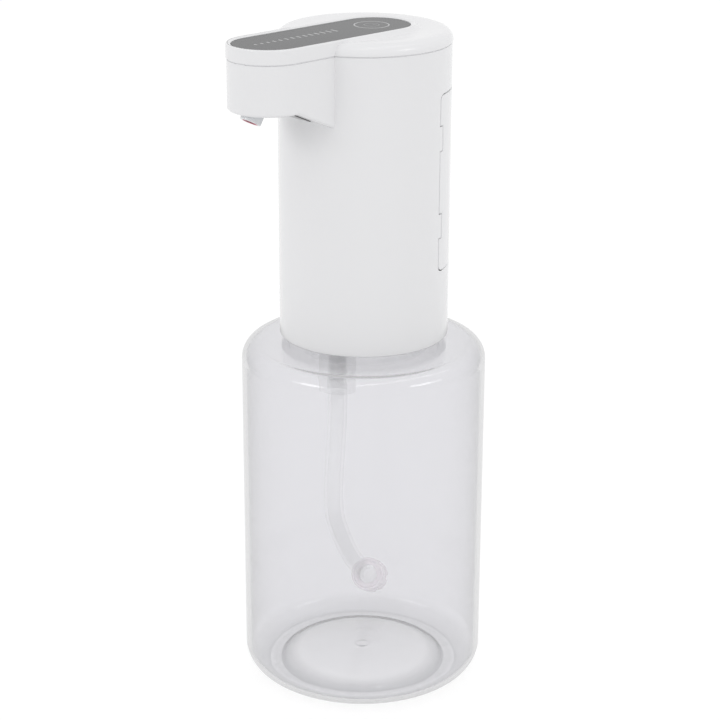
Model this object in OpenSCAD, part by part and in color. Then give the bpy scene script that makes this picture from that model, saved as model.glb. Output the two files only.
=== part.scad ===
/* [Bottle] */
// Outer diameter of the clear bottle
bottle_d = 75; // [72:0.5:80]
// Height from the standing face to the root of the bottle's neck
bottle_h = 110.4; // [106:0.2:118]
// Thickness of the bottle's wall
bottle_wall = 1.4; // [1.2:0.1:1.8]
// Radius of the rounded corner at the base
base_round = 7.7; // [6:0.1:9]
// Radius of the rounded shoulder
shoulder_round = 5.5; // [4:0.1:7]
// Rise of the shoulder from its rounded edge to the neck
shoulder_rise = 1; // [0.4:0.1:2]
// Height of the dome pushed up into the base
punt_h = 3.6; // [2:0.2:10]
// Inner diameter of the flat ring that the bottle stands on
foot_ring_d = 52.4; // [44:0.5:54]

/* [Neck and thread] */
// Outer diameter of the bottle's neck
neck_d = 36.8; // [36.6:0.1:37.2]
// Height of the neck above the shoulder
neck_h = 11; // [10.6:0.1:12]
// Thickness of the neck's wall
neck_wall = 1.4; // [1.2:0.1:1.5]
// Rise of the thread in one turn
thread_pitch = 4.2; // [3.8:0.1:4.4]
// Turns of thread on the neck
thread_turns = 1.2; // [1:0.05:1.3]
// Height of the thread's ridge above its root
thread_depth = 1.1; // [0.8:0.05:1.2]
// Gap between the bottle's thread and the head's collar
thread_gap = 0.35; // [0.25:0.05:0.4]
// Thickness of the seal on the bottle's lip
seal_t = 1.6; // [1.2:0.1:2]

/* [Body shell] */
// Outer diameter of the tower
tower_d = 51.4; // [51:0.1:52.4]
// Height of the tower from its rim to the cover's seam
tower_h = 89.7; // [89:0.1:96]
// Gap between the bottle's shoulder and the tower's rim
rim_gap = 2; // [1.2:0.1:3]
// Thickness of the shell's wall
shell_wall = 2.2; // [2:0.05:2.4]
// Width of the arm
arm_w = 23.7; // [23:0.1:25]
// Distance from the tower's axis to the middle of the arm's round nose
nose_reach = 37.3; // [36:0.1:42]
// Depth of the arm below the seam
arm_depth = 14.7; // [14.4:0.1:15.4]
// Distance from the middle of the nose back to where the underside starts to slope
knee_back = 0.9; // [0.5:0.1:1.9]
// Slope of the underside between the knee and the tower
slope_deg = 24.4; // [22:0.2:26]

/* [Top cover] */
// Height of the raised rim above the seam
cover_h = 4.4; // [4:0.1:5.5]
// Height of the cover's round top above the seam
cover_top_h = 3.6; // [3.2:0.1:3.8]
// Radius of the edge of the round top
cover_round = 3; // [1:0.1:3.1]
// How far the cover stands out past the shell
cover_proud = 0.2; // [0:0.05:0.4]
// Height of the groove that shows at the seam
seam_gap = 0.3; // [0.2:0.05:0.4]
// Width of the touch panel
panel_w = 21; // [20:0.1:21.4]
// Distance from the tower's axis back to the middle of the panel's round end
panel_rear = 3.95; // [3:0.1:5]
// Thickness of the touch panel
panel_t = 1.2; // [1:0.1:1.5]
// Depth of the panel's face below the raised rim
panel_sink = 0.4; // [0.1:0.05:1]

/* [Battery door] */
// Height of the door
door_h = 53.2; // [53:0.1:54]
// Height of the door's lower edge above the tower's rim
door_sill = 22.8; // [22.6:0.1:23.4]
// Distance of the door's side edges behind the tower's axis
door_edge = 7.3; // [6.8:0.1:8]
// Thickness of the door
door_t = 1.4; // [1.2:0.1:1.5]
// Gap all round the door
door_gap = 0.25; // [0.15:0.05:0.35]
// Radius of the door's corners
door_round = 1.8; // [1:0.1:2.5]
// Height of each of the four notches in the door's side edges
notch_h = 7.8; // [6:0.1:9]
// Depth of the notches
notch_depth = 1.55; // [1.2:0.05:2]
// Distance between the middles of the two notches in one edge
notch_spacing = 26.5; // [24:0.1:29]
// Height of the pair of notches above the middle of the door
notch_rise = 0.5; // [0:0.1:1]

/* [Batteries] */
// Diameter of a size AAA cell
cell_d = 10.5; // [10:0.1:10.5]
// Length of a size AAA cell
cell_len = 44.5; // [44:0.1:44.5]
// Distance of the cells' middles from the tower's axis
cell_orbit = 17.2; // [17.1:0.1:17.4]
// Angle between neighbouring cells
cell_step = 37; // [36.5:0.1:37.2]
// Thickness of the tray's end plates
tray_t = 1.5; // [1.2:0.1:1.6]
// Length of a pressed contact spring
spring_len = 4.2; // [4:0.1:4.6]

/* [Pump] */
// Module of the two pump gears
pump_module = 1; // [0.98:0.01:1.01]
// Teeth of each pump gear
pump_teeth = 10; // [10:1:10]
// Width of the pump gears
pump_gear_w = 5.4; // [4.6:0.1:5.6]
// Diameter of the pump's shaft and pin
pump_shaft_d = 3; // [2.6:0.1:3.2]
// Thickness of the floor of the pump's body
pump_floor = 2; // [1.8:0.1:2.2]
// Thickness of the pump's cover
pump_lid = 2; // [1.8:0.1:2.2]
// Gap between a turning shaft and its bearing
running_gap = 0.03; // [0.02:0.01:0.05]

/* [Motor and gears] */
// Module of the reduction gears
gear_module = 0.7; // [0.69:0.005:0.7]
// Teeth of the motor's pinion
pinion_teeth = 10; // [10:1:10]
// Teeth of the gear on the pump's shaft
wheel_teeth = 32; // [32:1:32]
// Width of the reduction gears
wheel_w = 3; // [2.4:0.1:3.1]
// Diameter of the motor
motor_d = 20; // [19:0.1:20.2]
// Distance across the motor's two flats
motor_flat = 15.1; // [14.5:0.1:15.3]
// Length of the motor's steel can
motor_len = 23; // [20:0.5:26]
// Diameter of the motor's shaft
motor_shaft_d = 2; // [1.6:0.1:2.2]

/* [Nozzle and outlet tube] */
// Diameter of the nozzle at its tip
nozzle_tip_d = 6.2; // [5.6:0.1:6.4]
// Diameter of the nozzle where it enters the arm
nozzle_d = 6.5; // [6:0.1:7]
// Forward tilt of the nozzle
nozzle_tilt = 29.3; // [26:0.2:32]
// Distance from the middle of the nose forward to the middle of the nozzle's tip
nozzle_ahead = 7.1; // [6.4:0.1:7.4]
// Depth of the tip's middle below the arm's underside
nozzle_drop = 2.85; // [2.6:0.05:3.1]
// Outer diameter of the outlet tube
tube_d = 4; // [3.6:0.1:4.2]
// Bore of the outlet tube
tube_bore = 2.4; // [2.2:0.1:2.6]

/* [Sensor window] */
// Width of the window
window_w = 14; // [12:0.1:15]
// Length of the window along the slope
window_len = 8.8; // [8:0.1:9]
// Distance of the window from the knee
window_inset = 1.5; // [1:0.1:2]
// Diameter of the sender and of the receiver
sensor_d = 3; // [2.6:0.1:3.4]

/* [Dip hose] */
// Outer diameter of the hose
hose_d = 6; // [5.6:0.1:6.2]
// Bore of the hose
hose_bore = 4; // [3.4:0.1:4.4]
// Diameter of the socket that holds the hose
socket_d = 11.2; // [10:0.1:11.4]
// Length of the hose inside the socket
socket_grip = 12; // [8:0.5:14]
// Diameter of the inlet filter
filter_d = 11; // [10:0.1:11.4]
// Length of the inlet filter
filter_len = 8; // [7:0.1:8.4]

/* [Wall slots] */
// Width of the two slots for a wall bracket's hooks
slot_w = 4; // [3:0.1:5]
// Length of each slot
slot_len = 7; // [6:0.1:7.4]
// Distance between the middles of the two slots
slot_spacing = 65; // [64.8:0.1:65.4]

/* [Hidden] */
$fn = 64;
eps = 0.01;
far = 200;
fit = 0.05;
clear = 0.3;

bottle_r = bottle_d / 2;
neck_r = neck_d / 2;
neck_bore_r = neck_r - neck_wall;
neck_top = bottle_h + neck_h;
crest_r = neck_r + thread_depth;
collar_bore_r = crest_r + thread_gap;
ridge_root = 1.5;
ridge_crest = 0.8;
ridge_start = neck_h - thread_pitch * thread_turns - 2;
ridge_offset = 1.5;
ridge_sink = 0.3;
collar_ridge_lag = 100;
thread_steps = 30;

tower_r = tower_d / 2;
tower_bore_r = tower_r - shell_wall;
arm_r = arm_w / 2;
rim_z = bottle_h + rim_gap;
seam_z = rim_z + tower_h;
shell_top = seam_z - seam_gap / 2;
cover_z = seam_z + seam_gap / 2;
under_z = seam_z - arm_depth;
knee_reach = nose_reach - knee_back;
nozzle_reach = nose_reach + nozzle_ahead;

deck_z = neck_top + seal_t;
deck_t = 2.5;
deck_top = deck_z + deck_t;
collar_step = 0.8;
collar_z = rim_z + collar_step;
collar_r = tower_bore_r - clear;
small_screw_r = 0.8;
small_head_r = 1.2;
head_h = 1;
collar_screw_r = (collar_bore_r + collar_r) / 2;
collar_screw_depth = 4;
collar_screw_z = deck_z - collar_screw_depth;
collar_angles = [30, 150, 270];
boss_h = 6.8;
boss_r = 2.2;
pilot_spare = 0.5;

rim_top = seam_z + cover_h;
round_top = seam_z + cover_top_h;
round_dish = 0.4;
panel_r = panel_w / 2;
panel_top = rim_top - panel_sink;
panel_z = panel_top - panel_t;
cover_plate = 2;
cover_under = panel_z - cover_plate;
spigot_t = 0.9;
spigot_h = 2;
board_t = 1.2;
touch_board_r = 8.2;
touch_board_back = 4.3;
touch_board_front = nose_reach - touch_board_back;
touch_board_rear = 1.2;
touch_opening_r = 7;
mark_y = panel_rear;
touch_coil_low_r = 2.6;
touch_coil_top_r = 3.4;
led_y = -4.4;
led_w = 1.6;
led_len = 0.8;
led_h = 0.7;
panel_gap = 0.1;
rim_edge = 0.4;
cover_screw_orbit = (touch_opening_r + panel_r) / 2;
cover_screw_spread = 50;
cover_screw_len = 9;
cover_screw_head_r = 1.5;
cover_screw_r = 0.9;
cover_screw_tip = panel_z - head_h - fit - cover_screw_len;
nose_screw = [0, -nose_reach - cover_screw_orbit];
rear_screws = [for (s = [-1, 1]) [s * cover_screw_orbit * sin(cover_screw_spread),
    panel_rear + cover_screw_orbit * cos(cover_screw_spread)]];

door_z = rim_z + door_sill;
door_top = door_z + door_h;
door_mid = (door_z + door_top) / 2;
door_bore_r = tower_r - door_t;
door_ledge = 1.4;
notch_round = 0.5;
nail_r = 1.6;
nail_w = 12;
nail_edge = 1.4;
nail_out = 0.7;

tray_z = door_z + door_ledge;
tray_wall = 1.1;
cell_gap = 0.4;
tray_inner_r = cell_orbit - cell_d / 2 - cell_gap - tray_wall;
tray_r = tower_bore_r - clear;
tray_span = 77;
contact_t = 0.4;
contact_r = 4;
tray_floor = tray_z + tray_t;
cell_low = tray_floor + contact_t;
tray_roof = cell_low + cell_len + spring_len + contact_t;
tray_top = tray_roof + tray_t;
tray_post = [10, 16];
tray_post_r = 2.5;
cell_angles = [for (i = [0:3]) 90 + (i - 1.5) * cell_step];
spring_wire = 0.4;
cell_coil_low_r = 3.6;
cell_coil_top_r = 2.2;
cell_nub_r = 1.9;
cell_nub_h = 0.8;
cell_edge = 0.4;
tray_screw_len = 7;

pump_z = deck_top;
pump_cavity_z = pump_z + pump_floor;
pump_side_gap = 0.05;
pump_top = pump_cavity_z + pump_gear_w + 2 * pump_side_gap;
lid_top = pump_top + pump_lid;
pump_pitch_r = pump_module * pump_teeth / 2;
pump_pressure = 28;
pump_tip_r = pump_pitch_r + 0.9 * pump_module;
pump_cavity_r = pump_tip_r + 0.1;
pump_wall = 2;
pump_y = -6.8;
shaft_r = pump_shaft_d / 2;
shaft_sink = 1;
inlet = [0, -10.9];
inlet_r = 1.6;
outlet_y = 1.2;
outlet_r = 1.1;
outlet_z = pump_cavity_z + 2.6;
nipple_x = 13;
nipple_len = 2.6;
pump_screws_at = [[-9.5, -13.6], [9.5, -13.6], [-11.8, -3.4], [11.8, -3.4]];
pump_ear_r = 2;
pump_outlet_w = 1;
seal_w = 1.3;
seal_h = 1;
screw_short = 0.8;

pinion_r = gear_module * pinion_teeth / 2;
wheel_r = gear_module * wheel_teeth / 2;
motor_x = pump_pitch_r - pinion_r - wheel_r;
wheel_gap = 0.6;
wheel_z = lid_top + head_h + wheel_gap;
wheel_top = wheel_z + wheel_w;
case_gap = 0.8;
case_wall = 1.2;
plate_gap = 0.3;
case_r = wheel_r + gear_module + case_gap + case_wall;
case_end_r = 9.6;
plate_z = wheel_top + plate_gap + head_h;
plate_t = 1.5;
motor_z = plate_z + plate_t;
motor_top = motor_z + motor_len;
motor_cap_h = 3;
can_wall = 0.8;
motor_shaft_r = motor_shaft_d / 2;
motor_nose_r = 3;
motor_screw_x = 6.5;
motor_screw_len = 3;
armature_r = 5.8;
armature_end = 4;
magnet_bore_r = 6.4;
magnet_end = 3.4;
magnet_parting = 8;
terminal_y = 4.6;
terminal_w = 2;
terminal_t = 0.5;
terminal_h = 2;
terminal_z = motor_top + motor_cap_h;
case_screws_at = [[0, -20.5], [20, pump_y], [-12.5, -16.3]];
case_screw_len = 6;

hose_r = hose_d / 2;
socket_r = socket_d / 2;
socket_z = bottle_h - 15.4;
socket_flange_r = socket_r + 1.2;
socket_flange_t = 1;
filter_r = filter_d / 2;
filter_wall = 1.1;
filter_grip = 3.5;
filter_fit = 0.2;
filter_slots = 6;
filter_slot_w = 1.2;
filter_slot_h = 2.5;
filter_rim = [-17.3, 18.3, 17.5];
filter_dir = [-0.442, 0.745, -0.5];
filter_lean = acos(filter_dir[2] / norm(filter_dir));
filter_turn = atan2(filter_dir[1], filter_dir[0]);

slot_z = rim_z + 50.1;

nozzle_flange = 8.4;
nozzle_flange_t = 1.2;
nozzle_flange_r = 3.8;
nozzle_barb_len = 2.2;
nozzle_barb_wall = 0.5;
nozzle_top = nozzle_flange + nozzle_flange_t + nozzle_barb_len;
nozzle_boss_h = 2.2;
nozzle_edge = 0.2;
nozzle_mouth_r = 2.3;
nozzle_mouth_depth = 5;
nozzle_ring_t = 0.35;
nozzle_ring_len = 1.2;
valve_base_t = 1;
valve_bore_r = 0.5;
valve_root_r = 1.2;
valve_lip_r = 0.6;
valve_slit_r = 0.2;
valve_lip_depth = 1.8;
barb_r = tube_bore / 2 - 0.08;
tube_bend = 7;

sensor_z = shell_wall + 0.8;
sensor_y = window_inset + window_len / 2;
window_flange = 0.5;
window_proud = 0.5;
holder_h = 3;
sensor_gap = 0.2;
sensor_len = 4;
sensor_board_t = 1;

hose_route = [
    [0, -10.9, 107], [0, -10.9, 101], [0, -10.9, 95], [0.3, -11.3, 86], [1.1, -12.8, 77],
    [1.9, -14.2, 68], [2.2, -14.6, 61], [1.4, -13.3, 54.5], [-0.5, -10, 48.5],
    [-3.1, -5.7, 42.4], [-5.9, -1, 36.4], [-8.7, 3.7, 31], [-11.7, 8.9, 26],
    [-14.4, 13.5, 21.3], [-17.3, 18.3, 17.5], [-18.8, 20.8, 15.8]];

bend_start = nozzle_point(nozzle_top + 0.6);
bend_rise = 90 - nozzle_tilt;
run_z = bend_start[2] + tube_bend * (1 - cos(bend_rise));
outlet_route = concat(
    [[nipple_x + 0.4, outlet_y, outlet_z], [nipple_x + 3.2, outlet_y, outlet_z],
     [nipple_x + 5.4, outlet_y, outlet_z + 0.8], [nipple_x + 7, 0.9, outlet_z + 2.8],
     [nipple_x + 7.6, 0.5, outlet_z + 5.6], [nipple_x + 7.6, 0.2, outlet_z + 9],
     [nipple_x + 7.6, 0, outlet_z + 20], [nipple_x + 7.6, 0, run_z - 14],
     [20.2, -0.6, run_z - 9.3], [18.6, -2.4, run_z - 5], [15.8, -5, run_z - 2],
     [12, -8.6, run_z - 0.5], [7.8, -13.2, run_z], [4.2, -18.4, run_z],
     [1.6, -23.2, run_z], [0.3, -27.2, run_z]],
    [for (f = [0:0.25:1]) let (a = bend_rise * f)
        bend_start + tube_bend * [0, sin(bend_rise) - sin(a), cos(a) - cos(bend_rise)]],
    [nozzle_point(nozzle_flange + nozzle_flange_t + 0.2)]);

board_x = 8;
board_y = -20;
board_w = 22;
board_lift = 4;
board_z = motor_z + board_lift;
board_headroom = 6.5;
board_top = run_z - tube_d / 2 - board_headroom;
main_board_t = 1.6;
board_face = board_x + main_board_t;
rail_t = 0.8;
rail_gap = 0.1;
rail_depth = 3;
rail_short = 4;
chip_w = 7;
chip_t = 1.2;
chip_y = board_y + 6;
chip_z = board_top - 22;
driver_w = 4;
driver_h = 5;
driver_t = 1;
driver_z = board_z + 8;
plug_t = 3;
plug_h = 5;
plug_z = board_top - plug_h - 3;
motor_plug = [board_y + 4, 8];
cell_plug = [board_y + 13, 6];
capacitor_d = 5;
capacitor_h = 6;
capacitor_y = board_y + 15;
capacitor_z = board_z + 12;

wire_r = 0.5;
wire_z = terminal_z + terminal_h + eps;
wire_arch = board_top + 2.4;
wire_out = board_face + plug_t;
function wire_route(start_y, end_y) = [
    [motor_x, start_y, wire_z], [motor_x, start_y, wire_z + 2],
    [motor_x + 3, start_y + 0.3, wire_z + 8], [0, end_y + 6, board_top - 3],
    [4, end_y + 3, wire_arch - 1], [board_x + 2, end_y + 0.8, wire_arch],
    [wire_out + 1.6, end_y, board_top], [wire_out + 2, end_y, board_top - 3],
    [wire_out + 1.2, end_y, plug_z + plug_h / 2],
    [wire_out + 3 * eps, end_y, plug_z + plug_h / 2]];
wires = [["firebrick", wire_route(pump_y - terminal_y, motor_plug[0] + 1.6)],
    ["black", wire_route(pump_y + terminal_y, motor_plug[0] + 5.6)]];

// ---- helpers ----

// Points along a round stretch of a profile
function arc(c, r, a0, a1, n = 10) =
    [for (i = [0:n]) let (a = a0 + (a1 - a0) * i / n) c + r * [cos(a), sin(a)]];

function unit(v) = v / norm(v);
function heading(p, i) = unit(p[min(i + 1, len(p) - 1)] - p[max(i - 1, 0)]);
// Carries a side direction along a path without twisting it
function frames(p, side, i = 0) = i == len(p) ? [] :
    let (t = heading(p, i), s = unit(side - t * (side * t)))
    concat([[p[i], s, cross(t, s)]], frames(p, s, i + 1));
function ring(f, r, n) =
    [for (k = [0:n - 1]) f[0] + r * cos(360 * k / n) * f[1] + r * sin(360 * k / n) * f[2]];

// A round tube or a solid wire swept along a path
module sweep(path, r, bore = 0, n = 8, side = [1, 0, 0]) {
    fs = frames(path, side);
    m = len(path);
    outer = [for (f = fs) for (q = ring(f, r, n)) q];
    inner = [for (f = fs) for (q = ring(f, bore, n)) q];
    last = (m - 1) * n;
    skin = [for (i = [0:m - 2]) for (k = [0:n - 1])
        let (a = i * n + k, b = i * n + (k + 1) % n)
        each [[a, a + n, b + n], [a, b + n, b]]];
    if (bore == 0)
        polyhedron(outer, concat(skin, [[for (k = [0:n - 1]) k],
            [for (k = [n - 1:-1:0]) last + k]]));
    else
        polyhedron(concat(outer, inner), concat(skin,
            [for (f = skin) [for (j = [2, 1, 0]) f[j] + m * n]],
            [for (k = [0:n - 1]) let (b = (k + 1) % n)
                each [[k, b, m * n + b], [k, m * n + b, m * n + k]]],
            [for (k = [0:n - 1]) let (b = (k + 1) % n)
                each [[last + b, last + k, last + m * n + k],
                    [last + b, last + m * n + k, last + m * n + b]]]));
}

// A coil whose radius goes evenly from r0 to r1
function coil(r0, r1, h, turns, steps = 12) =
    [for (i = [0:turns * steps]) let (f = i / (turns * steps), a = 360 * turns * f)
        [(r0 + (r1 - r0) * f) * cos(a), (r0 + (r1 - r0) * f) * sin(a), h * f]];

// A screw thread's ridge: a four-sided profile carried up a helix
module thread_ridge(r_root, r_crest, start_z, start_a, turns) {
    steps = ceil(turns * thread_steps);
    profile = [[r_root, -ridge_root / 2], [r_crest, -ridge_crest / 2],
        [r_crest, ridge_crest / 2], [r_root, ridge_root / 2]];
    order = r_crest > r_root ? [0, 1, 2, 3] : [3, 2, 1, 0];
    points = [for (i = [0:steps]) let (a = start_a + 360 * turns * i / steps)
        for (k = order) [profile[k][0] * cos(a), profile[k][0] * sin(a),
            profile[k][1] + start_z + thread_pitch * turns * i / steps]];
    polyhedron(points, concat(
        [for (i = [0:steps - 1]) for (k = [0:3])
            let (a = 4 * i + k, b = 4 * i + (k + 1) % 4) each [[a, b, b + 4], [a, b + 4, a + 4]]],
        [[3, 2, 1, 0], [for (k = [0:3]) 4 * steps + k]]));
}

module tube(r, bore, z0, z1) {
    difference() {
        translate([0, 0, z0]) cylinder(r = r, h = z1 - z0);
        translate([0, 0, z0 - eps]) cylinder(r = bore, h = z1 - z0 + 2 * eps);
    }
}

module rod(at, r, z0, z1) {
    translate([at[0], at[1], z0]) cylinder(r = r, h = z1 - z0);
}

module screw(at, r, z_under_head, length, head_r, up = 1) {
    tip = z_under_head - up * length;
    top = z_under_head + up * head_h;
    rod(at, r, min(z_under_head, tip), max(z_under_head, tip));
    rod(at, head_r, min(z_under_head, top), max(z_under_head, top));
}

module slab(z0, z1) {
    translate([0, 0, z0]) linear_extrude(z1 - z0) children();
}

// Half width r, round ends, from y0 to y1 between the ends' middles
module stadium(r, y0, y1) {
    translate([0, y0]) circle(r);
    translate([0, y1]) circle(r);
    translate([-r, y0]) square([2 * r, y1 - y0]);
}

// The plan of the head: the round tower with the arm, pulled in by inset
module footprint(inset) {
    circle(tower_r - inset);
    stadium(arm_r - inset, -nose_reach, 0);
}

// Carries a y-z outline through the whole width
module across(width) {
    rotate([90, 0, 90]) translate([0, 0, -width / 2]) linear_extrude(width) children();
}

// Involute gear standing on z = 0 with a tooth on the +X axis
function inv_deg(a) = tan(a) * 180 / PI - a;
module gear(m, teeth, width, bore_r, angle = 25, backlash = 0.06) {
    pitch = m * teeth / 2;
    base = pitch * cos(angle);
    root = pitch - 1.1 * m;
    tip = pitch + 0.9 * m;
    half = 90 / teeth - backlash * 90 / PI / pitch + inv_deg(angle);
    radii = [for (i = [0:5]) max(base, root) + (tip - max(base, root)) * i / 5];
    flank = concat([[root, half]], [for (r = radii) [r, half - inv_deg(acos(min(1, base / r)))]]);
    n = len(flank);
    points = [for (t = [0:teeth - 1]) for (i = [0:2 * n - 1])
        let (f = i < n ? flank[i] : flank[2 * n - 1 - i], a = 360 * t / teeth + (i < n ? -1 : 1) * f[1])
        [f[0] * cos(a), f[0] * sin(a)]];
    difference() {
        linear_extrude(width) polygon(points);
        translate([0, 0, -eps]) cylinder(r = bore_r, h = width + 2 * eps);
    }
}

// ---- bottle ----

module bottle() {
    punt = [for (i = [0:8]) [foot_ring_d / 2 * i / 8, punt_h * (1 - pow(i / 8, 2))]];
    base_c = [bottle_r - base_round, base_round];
    shoulder_c = [bottle_r - shoulder_round, bottle_h - shoulder_rise - shoulder_round];
    w = bottle_wall;
    outline = concat(punt, arc(base_c, base_round, -90, 0), arc(shoulder_c, shoulder_round, 0, 90),
        [[neck_r, bottle_h], [neck_r, neck_top], [neck_bore_r, neck_top], [neck_bore_r, bottle_h - w]],
        arc(shoulder_c, shoulder_round - w, 90, 0), arc(base_c, base_round - w, 0, -90),
        [for (i = [8:-1:0]) punt[i] + [0, w]]);
    color([0.9, 0.92, 0.94, 0.4]) union() {
        rotate_extrude() polygon(outline);
        thread_ridge(neck_r - ridge_sink, crest_r, bottle_h + ridge_start, 0, thread_turns);
    }
}

module seal_ring() {
    color("gainsboro") tube(neck_r, neck_bore_r, neck_top, deck_z);
}

// ---- body shell ----

// Side view of the arm, lifted off its underside by lift
module arm_side(lift) {
    slope_lift = lift / cos(slope_deg);
    knee = -knee_reach + lift * tan(slope_deg / 2);
    polygon([[-far, under_z + lift], [knee, under_z + lift],
        [0, under_z + slope_lift - knee_reach * tan(slope_deg)], [0, far * 2], [-far, far * 2]]);
}

module arm_block(inset, z1) {
    intersection() {
        slab(under_z - far / 4, z1) stadium(arm_r - inset, -nose_reach, 0);
        across(2 * far) arm_side(inset);
    }
}

// Side view of the battery door, grown by grow on every edge
module door_side(grow) {
    low = door_edge - grow;
    z0 = door_z - grow;
    z1 = door_top + grow;
    r = door_round;
    difference() {
        union() {
            translate([low + r, z0]) square([far, z1 - z0]);
            translate([low, z0 + r]) square([far, z1 - z0 - 2 * r]);
            for (z = [z0 + r, z1 - r]) translate([low + r, z]) circle(r);
        }
        for (s = [-1, 1]) translate([0, door_mid + notch_rise + s * notch_spacing / 2]) {
            h = notch_h / 2 - grow;
            depth = door_edge + notch_depth - grow;
            translate([0, -h]) square([depth - notch_round, 2 * h]);
            translate([0, -h + notch_round]) square([depth, 2 * (h - notch_round)]);
            for (k = [-1, 1]) translate([depth - notch_round, k * (h - notch_round)]) circle(notch_round);
        }
    }
}

module door_band(r0, grow) {
    intersection() {
        tube(tower_r + 1, r0, door_z - 1, door_top + 1);
        across(2 * far) door_side(grow);
    }
}

module on_slope() {
    translate([0, -knee_reach, under_z]) rotate([-slope_deg, 0, 0]) children();
}

module on_nozzle() {
    translate([0, -nozzle_reach, under_z - nozzle_drop]) rotate([-nozzle_tilt, 0, 0]) children();
}
function nozzle_point(d) =
    [0, -nozzle_reach + d * sin(nozzle_tilt), under_z - nozzle_drop + d * cos(nozzle_tilt)];

module window_plate(grow, z0, z1) {
    translate([-window_w / 2 - grow, window_inset - grow, z0])
        cube([window_w + 2 * grow, window_len + 2 * grow, z1 - z0]);
}

module wall_slot(z) {
    for (s = [-1, 1]) translate([0, 0, z + s * (slot_len - slot_w) / 2])
        rotate([-90, 0, 0]) cylinder(d = slot_w, h = far);
    translate([-slot_w / 2, 0, z - (slot_len - slot_w) / 2]) cube([slot_w, far, slot_len - slot_w]);
}

module body_shell() {
    color("white") difference() {
        union() {
            difference() {
                union() {
                    rod([0, 0], tower_r, rim_z, shell_top);
                    arm_block(0, shell_top);
                }
                rod([0, 0], tower_bore_r, rim_z - eps, shell_top + eps);
                arm_block(shell_wall, shell_top + eps);
            }
            intersection() {
                rod([0, 0], tower_r - 1, rim_z, shell_top);
                for (a = collar_angles)
                    rod(collar_screw_r * [cos(a), sin(a)], boss_r, deck_top, deck_top + boss_h);
            }
            intersection() {
                slab(under_z + 1, shell_top) stadium(arm_r - 1, -nose_reach, 0);
                rod(nose_screw, boss_r, under_z + 1, shell_top);
            }
            on_nozzle() translate([0, 0, nozzle_flange - nozzle_boss_h])
                cylinder(r = nozzle_flange_r, h = nozzle_boss_h);
            intersection() {
                rod([0, 0], tower_r - 1, rim_z, shell_top);
                for (x = [board_x - rail_t - rail_gap, board_face + rail_gap])
                    translate([x, -tower_r, board_z + rail_short])
                        cube([rail_t, tower_r + board_y + rail_depth, board_top - board_z - 2 * rail_short]);
            }
        }
        door_band(door_bore_r - 0.1, door_gap);
        intersection() {
            tube(tower_r, tower_bore_r - 1, door_z + door_ledge, door_top - door_ledge);
            translate([-far, door_edge + notch_depth + door_ledge, 0]) cube([2 * far, far, far * 2]);
        }
        for (a = collar_angles)
            rod(collar_screw_r * [cos(a), sin(a)], small_screw_r,
                deck_top - eps, deck_top + boss_h - pilot_spare);
        rod(nose_screw, cover_screw_r, cover_screw_tip - pilot_spare, shell_top + eps);
        on_nozzle() translate([0, 0, -far]) cylinder(d = nozzle_d + 2 * fit, h = 2 * far);
        on_slope() window_plate(fit, -far, shell_wall + 1);
        for (s = [-1, 1]) wall_slot(slot_z + s * slot_spacing / 2);
    }
}

module battery_door() {
    color("white") difference() {
        intersection() {
            tube(tower_r, door_bore_r, door_z, door_top);
            across(2 * far) door_side(0);
        }
        translate([-nail_w / 2, tower_r + nail_out, door_z + nail_r + nail_edge])
            rotate([0, 90, 0]) cylinder(r = nail_r, h = nail_w);
    }
}

// ---- cover and touch panel ----

module top_cover() {
    edge = tower_r + cover_proud;
    edge_z = round_top - cover_round;
    dish_r = arm_r + 5;
    color("white") difference() {
        union() {
            slab(cover_z, edge_z + eps) footprint(-cover_proud);
            rotate_extrude() polygon(concat([[0, edge_z]],
                arc([edge - cover_round, edge_z], cover_round, 0, 90),
                [[dish_r, round_top - round_dish], [0, round_top - round_dish]]));
            slab(edge_z, rim_top - rim_edge) stadium(arm_r + cover_proud, -nose_reach, panel_rear);
            slab(rim_top - rim_edge - eps, rim_top)
                stadium(arm_r + cover_proud - 0.7 * rim_edge, -nose_reach, panel_rear);
            slab(shell_top, cover_z + eps) footprint(1);
            slab(shell_top - spigot_h, cover_z + eps) footprint(shell_wall + panel_gap);
        }
        slab(shell_top - spigot_h - eps, cover_under) footprint(shell_wall + panel_gap + spigot_t);
        slab(panel_z, rim_top + 1) stadium(panel_r + panel_gap, -nose_reach, panel_rear);
        slab(cover_under - 1, panel_z + 1) stadium(touch_opening_r, -touch_board_front, touch_board_rear);
        for (p = concat([nose_screw], rear_screws)) {
            rod(p, cover_screw_r + fit, shell_top - spigot_h - 1, panel_z + 1);
            rod(p, cover_screw_head_r + panel_gap, panel_z - head_h - fit, panel_z + 1);
        }
        rod(nose_screw, boss_r + panel_gap, shell_top - spigot_h - 1, shell_top);
    }
}

module cover_screws() {
    color("silver") for (p = concat([nose_screw], rear_screws))
        screw(p, cover_screw_r, panel_z - head_h - fit, cover_screw_len, cover_screw_head_r);
}

module touch_panel() {
    color("dimgray") slab(panel_z, panel_top) stadium(panel_r, -nose_reach, panel_rear);
}

module touch_board() {
    color("seagreen") slab(cover_under - board_t, cover_under)
        stadium(touch_board_r, -touch_board_front, touch_board_rear);
}

module touch_spring() {
    color("silver") translate([0, mark_y, cover_under + spring_wire / 2])
        sweep(coil(touch_coil_low_r, touch_coil_top_r, panel_z - cover_under - spring_wire, 3),
            spring_wire / 2, n = 6, side = [0, 0, 1]);
}

module status_led() {
    color("lightyellow") translate([-led_w / 2, led_y, cover_under]) cube([led_w, led_len, led_h]);
}

// ---- electronics ----

module main_board() {
    color("seagreen") translate([board_x, board_y, board_z])
        cube([main_board_t, board_w, board_top - board_z]);
}

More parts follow.
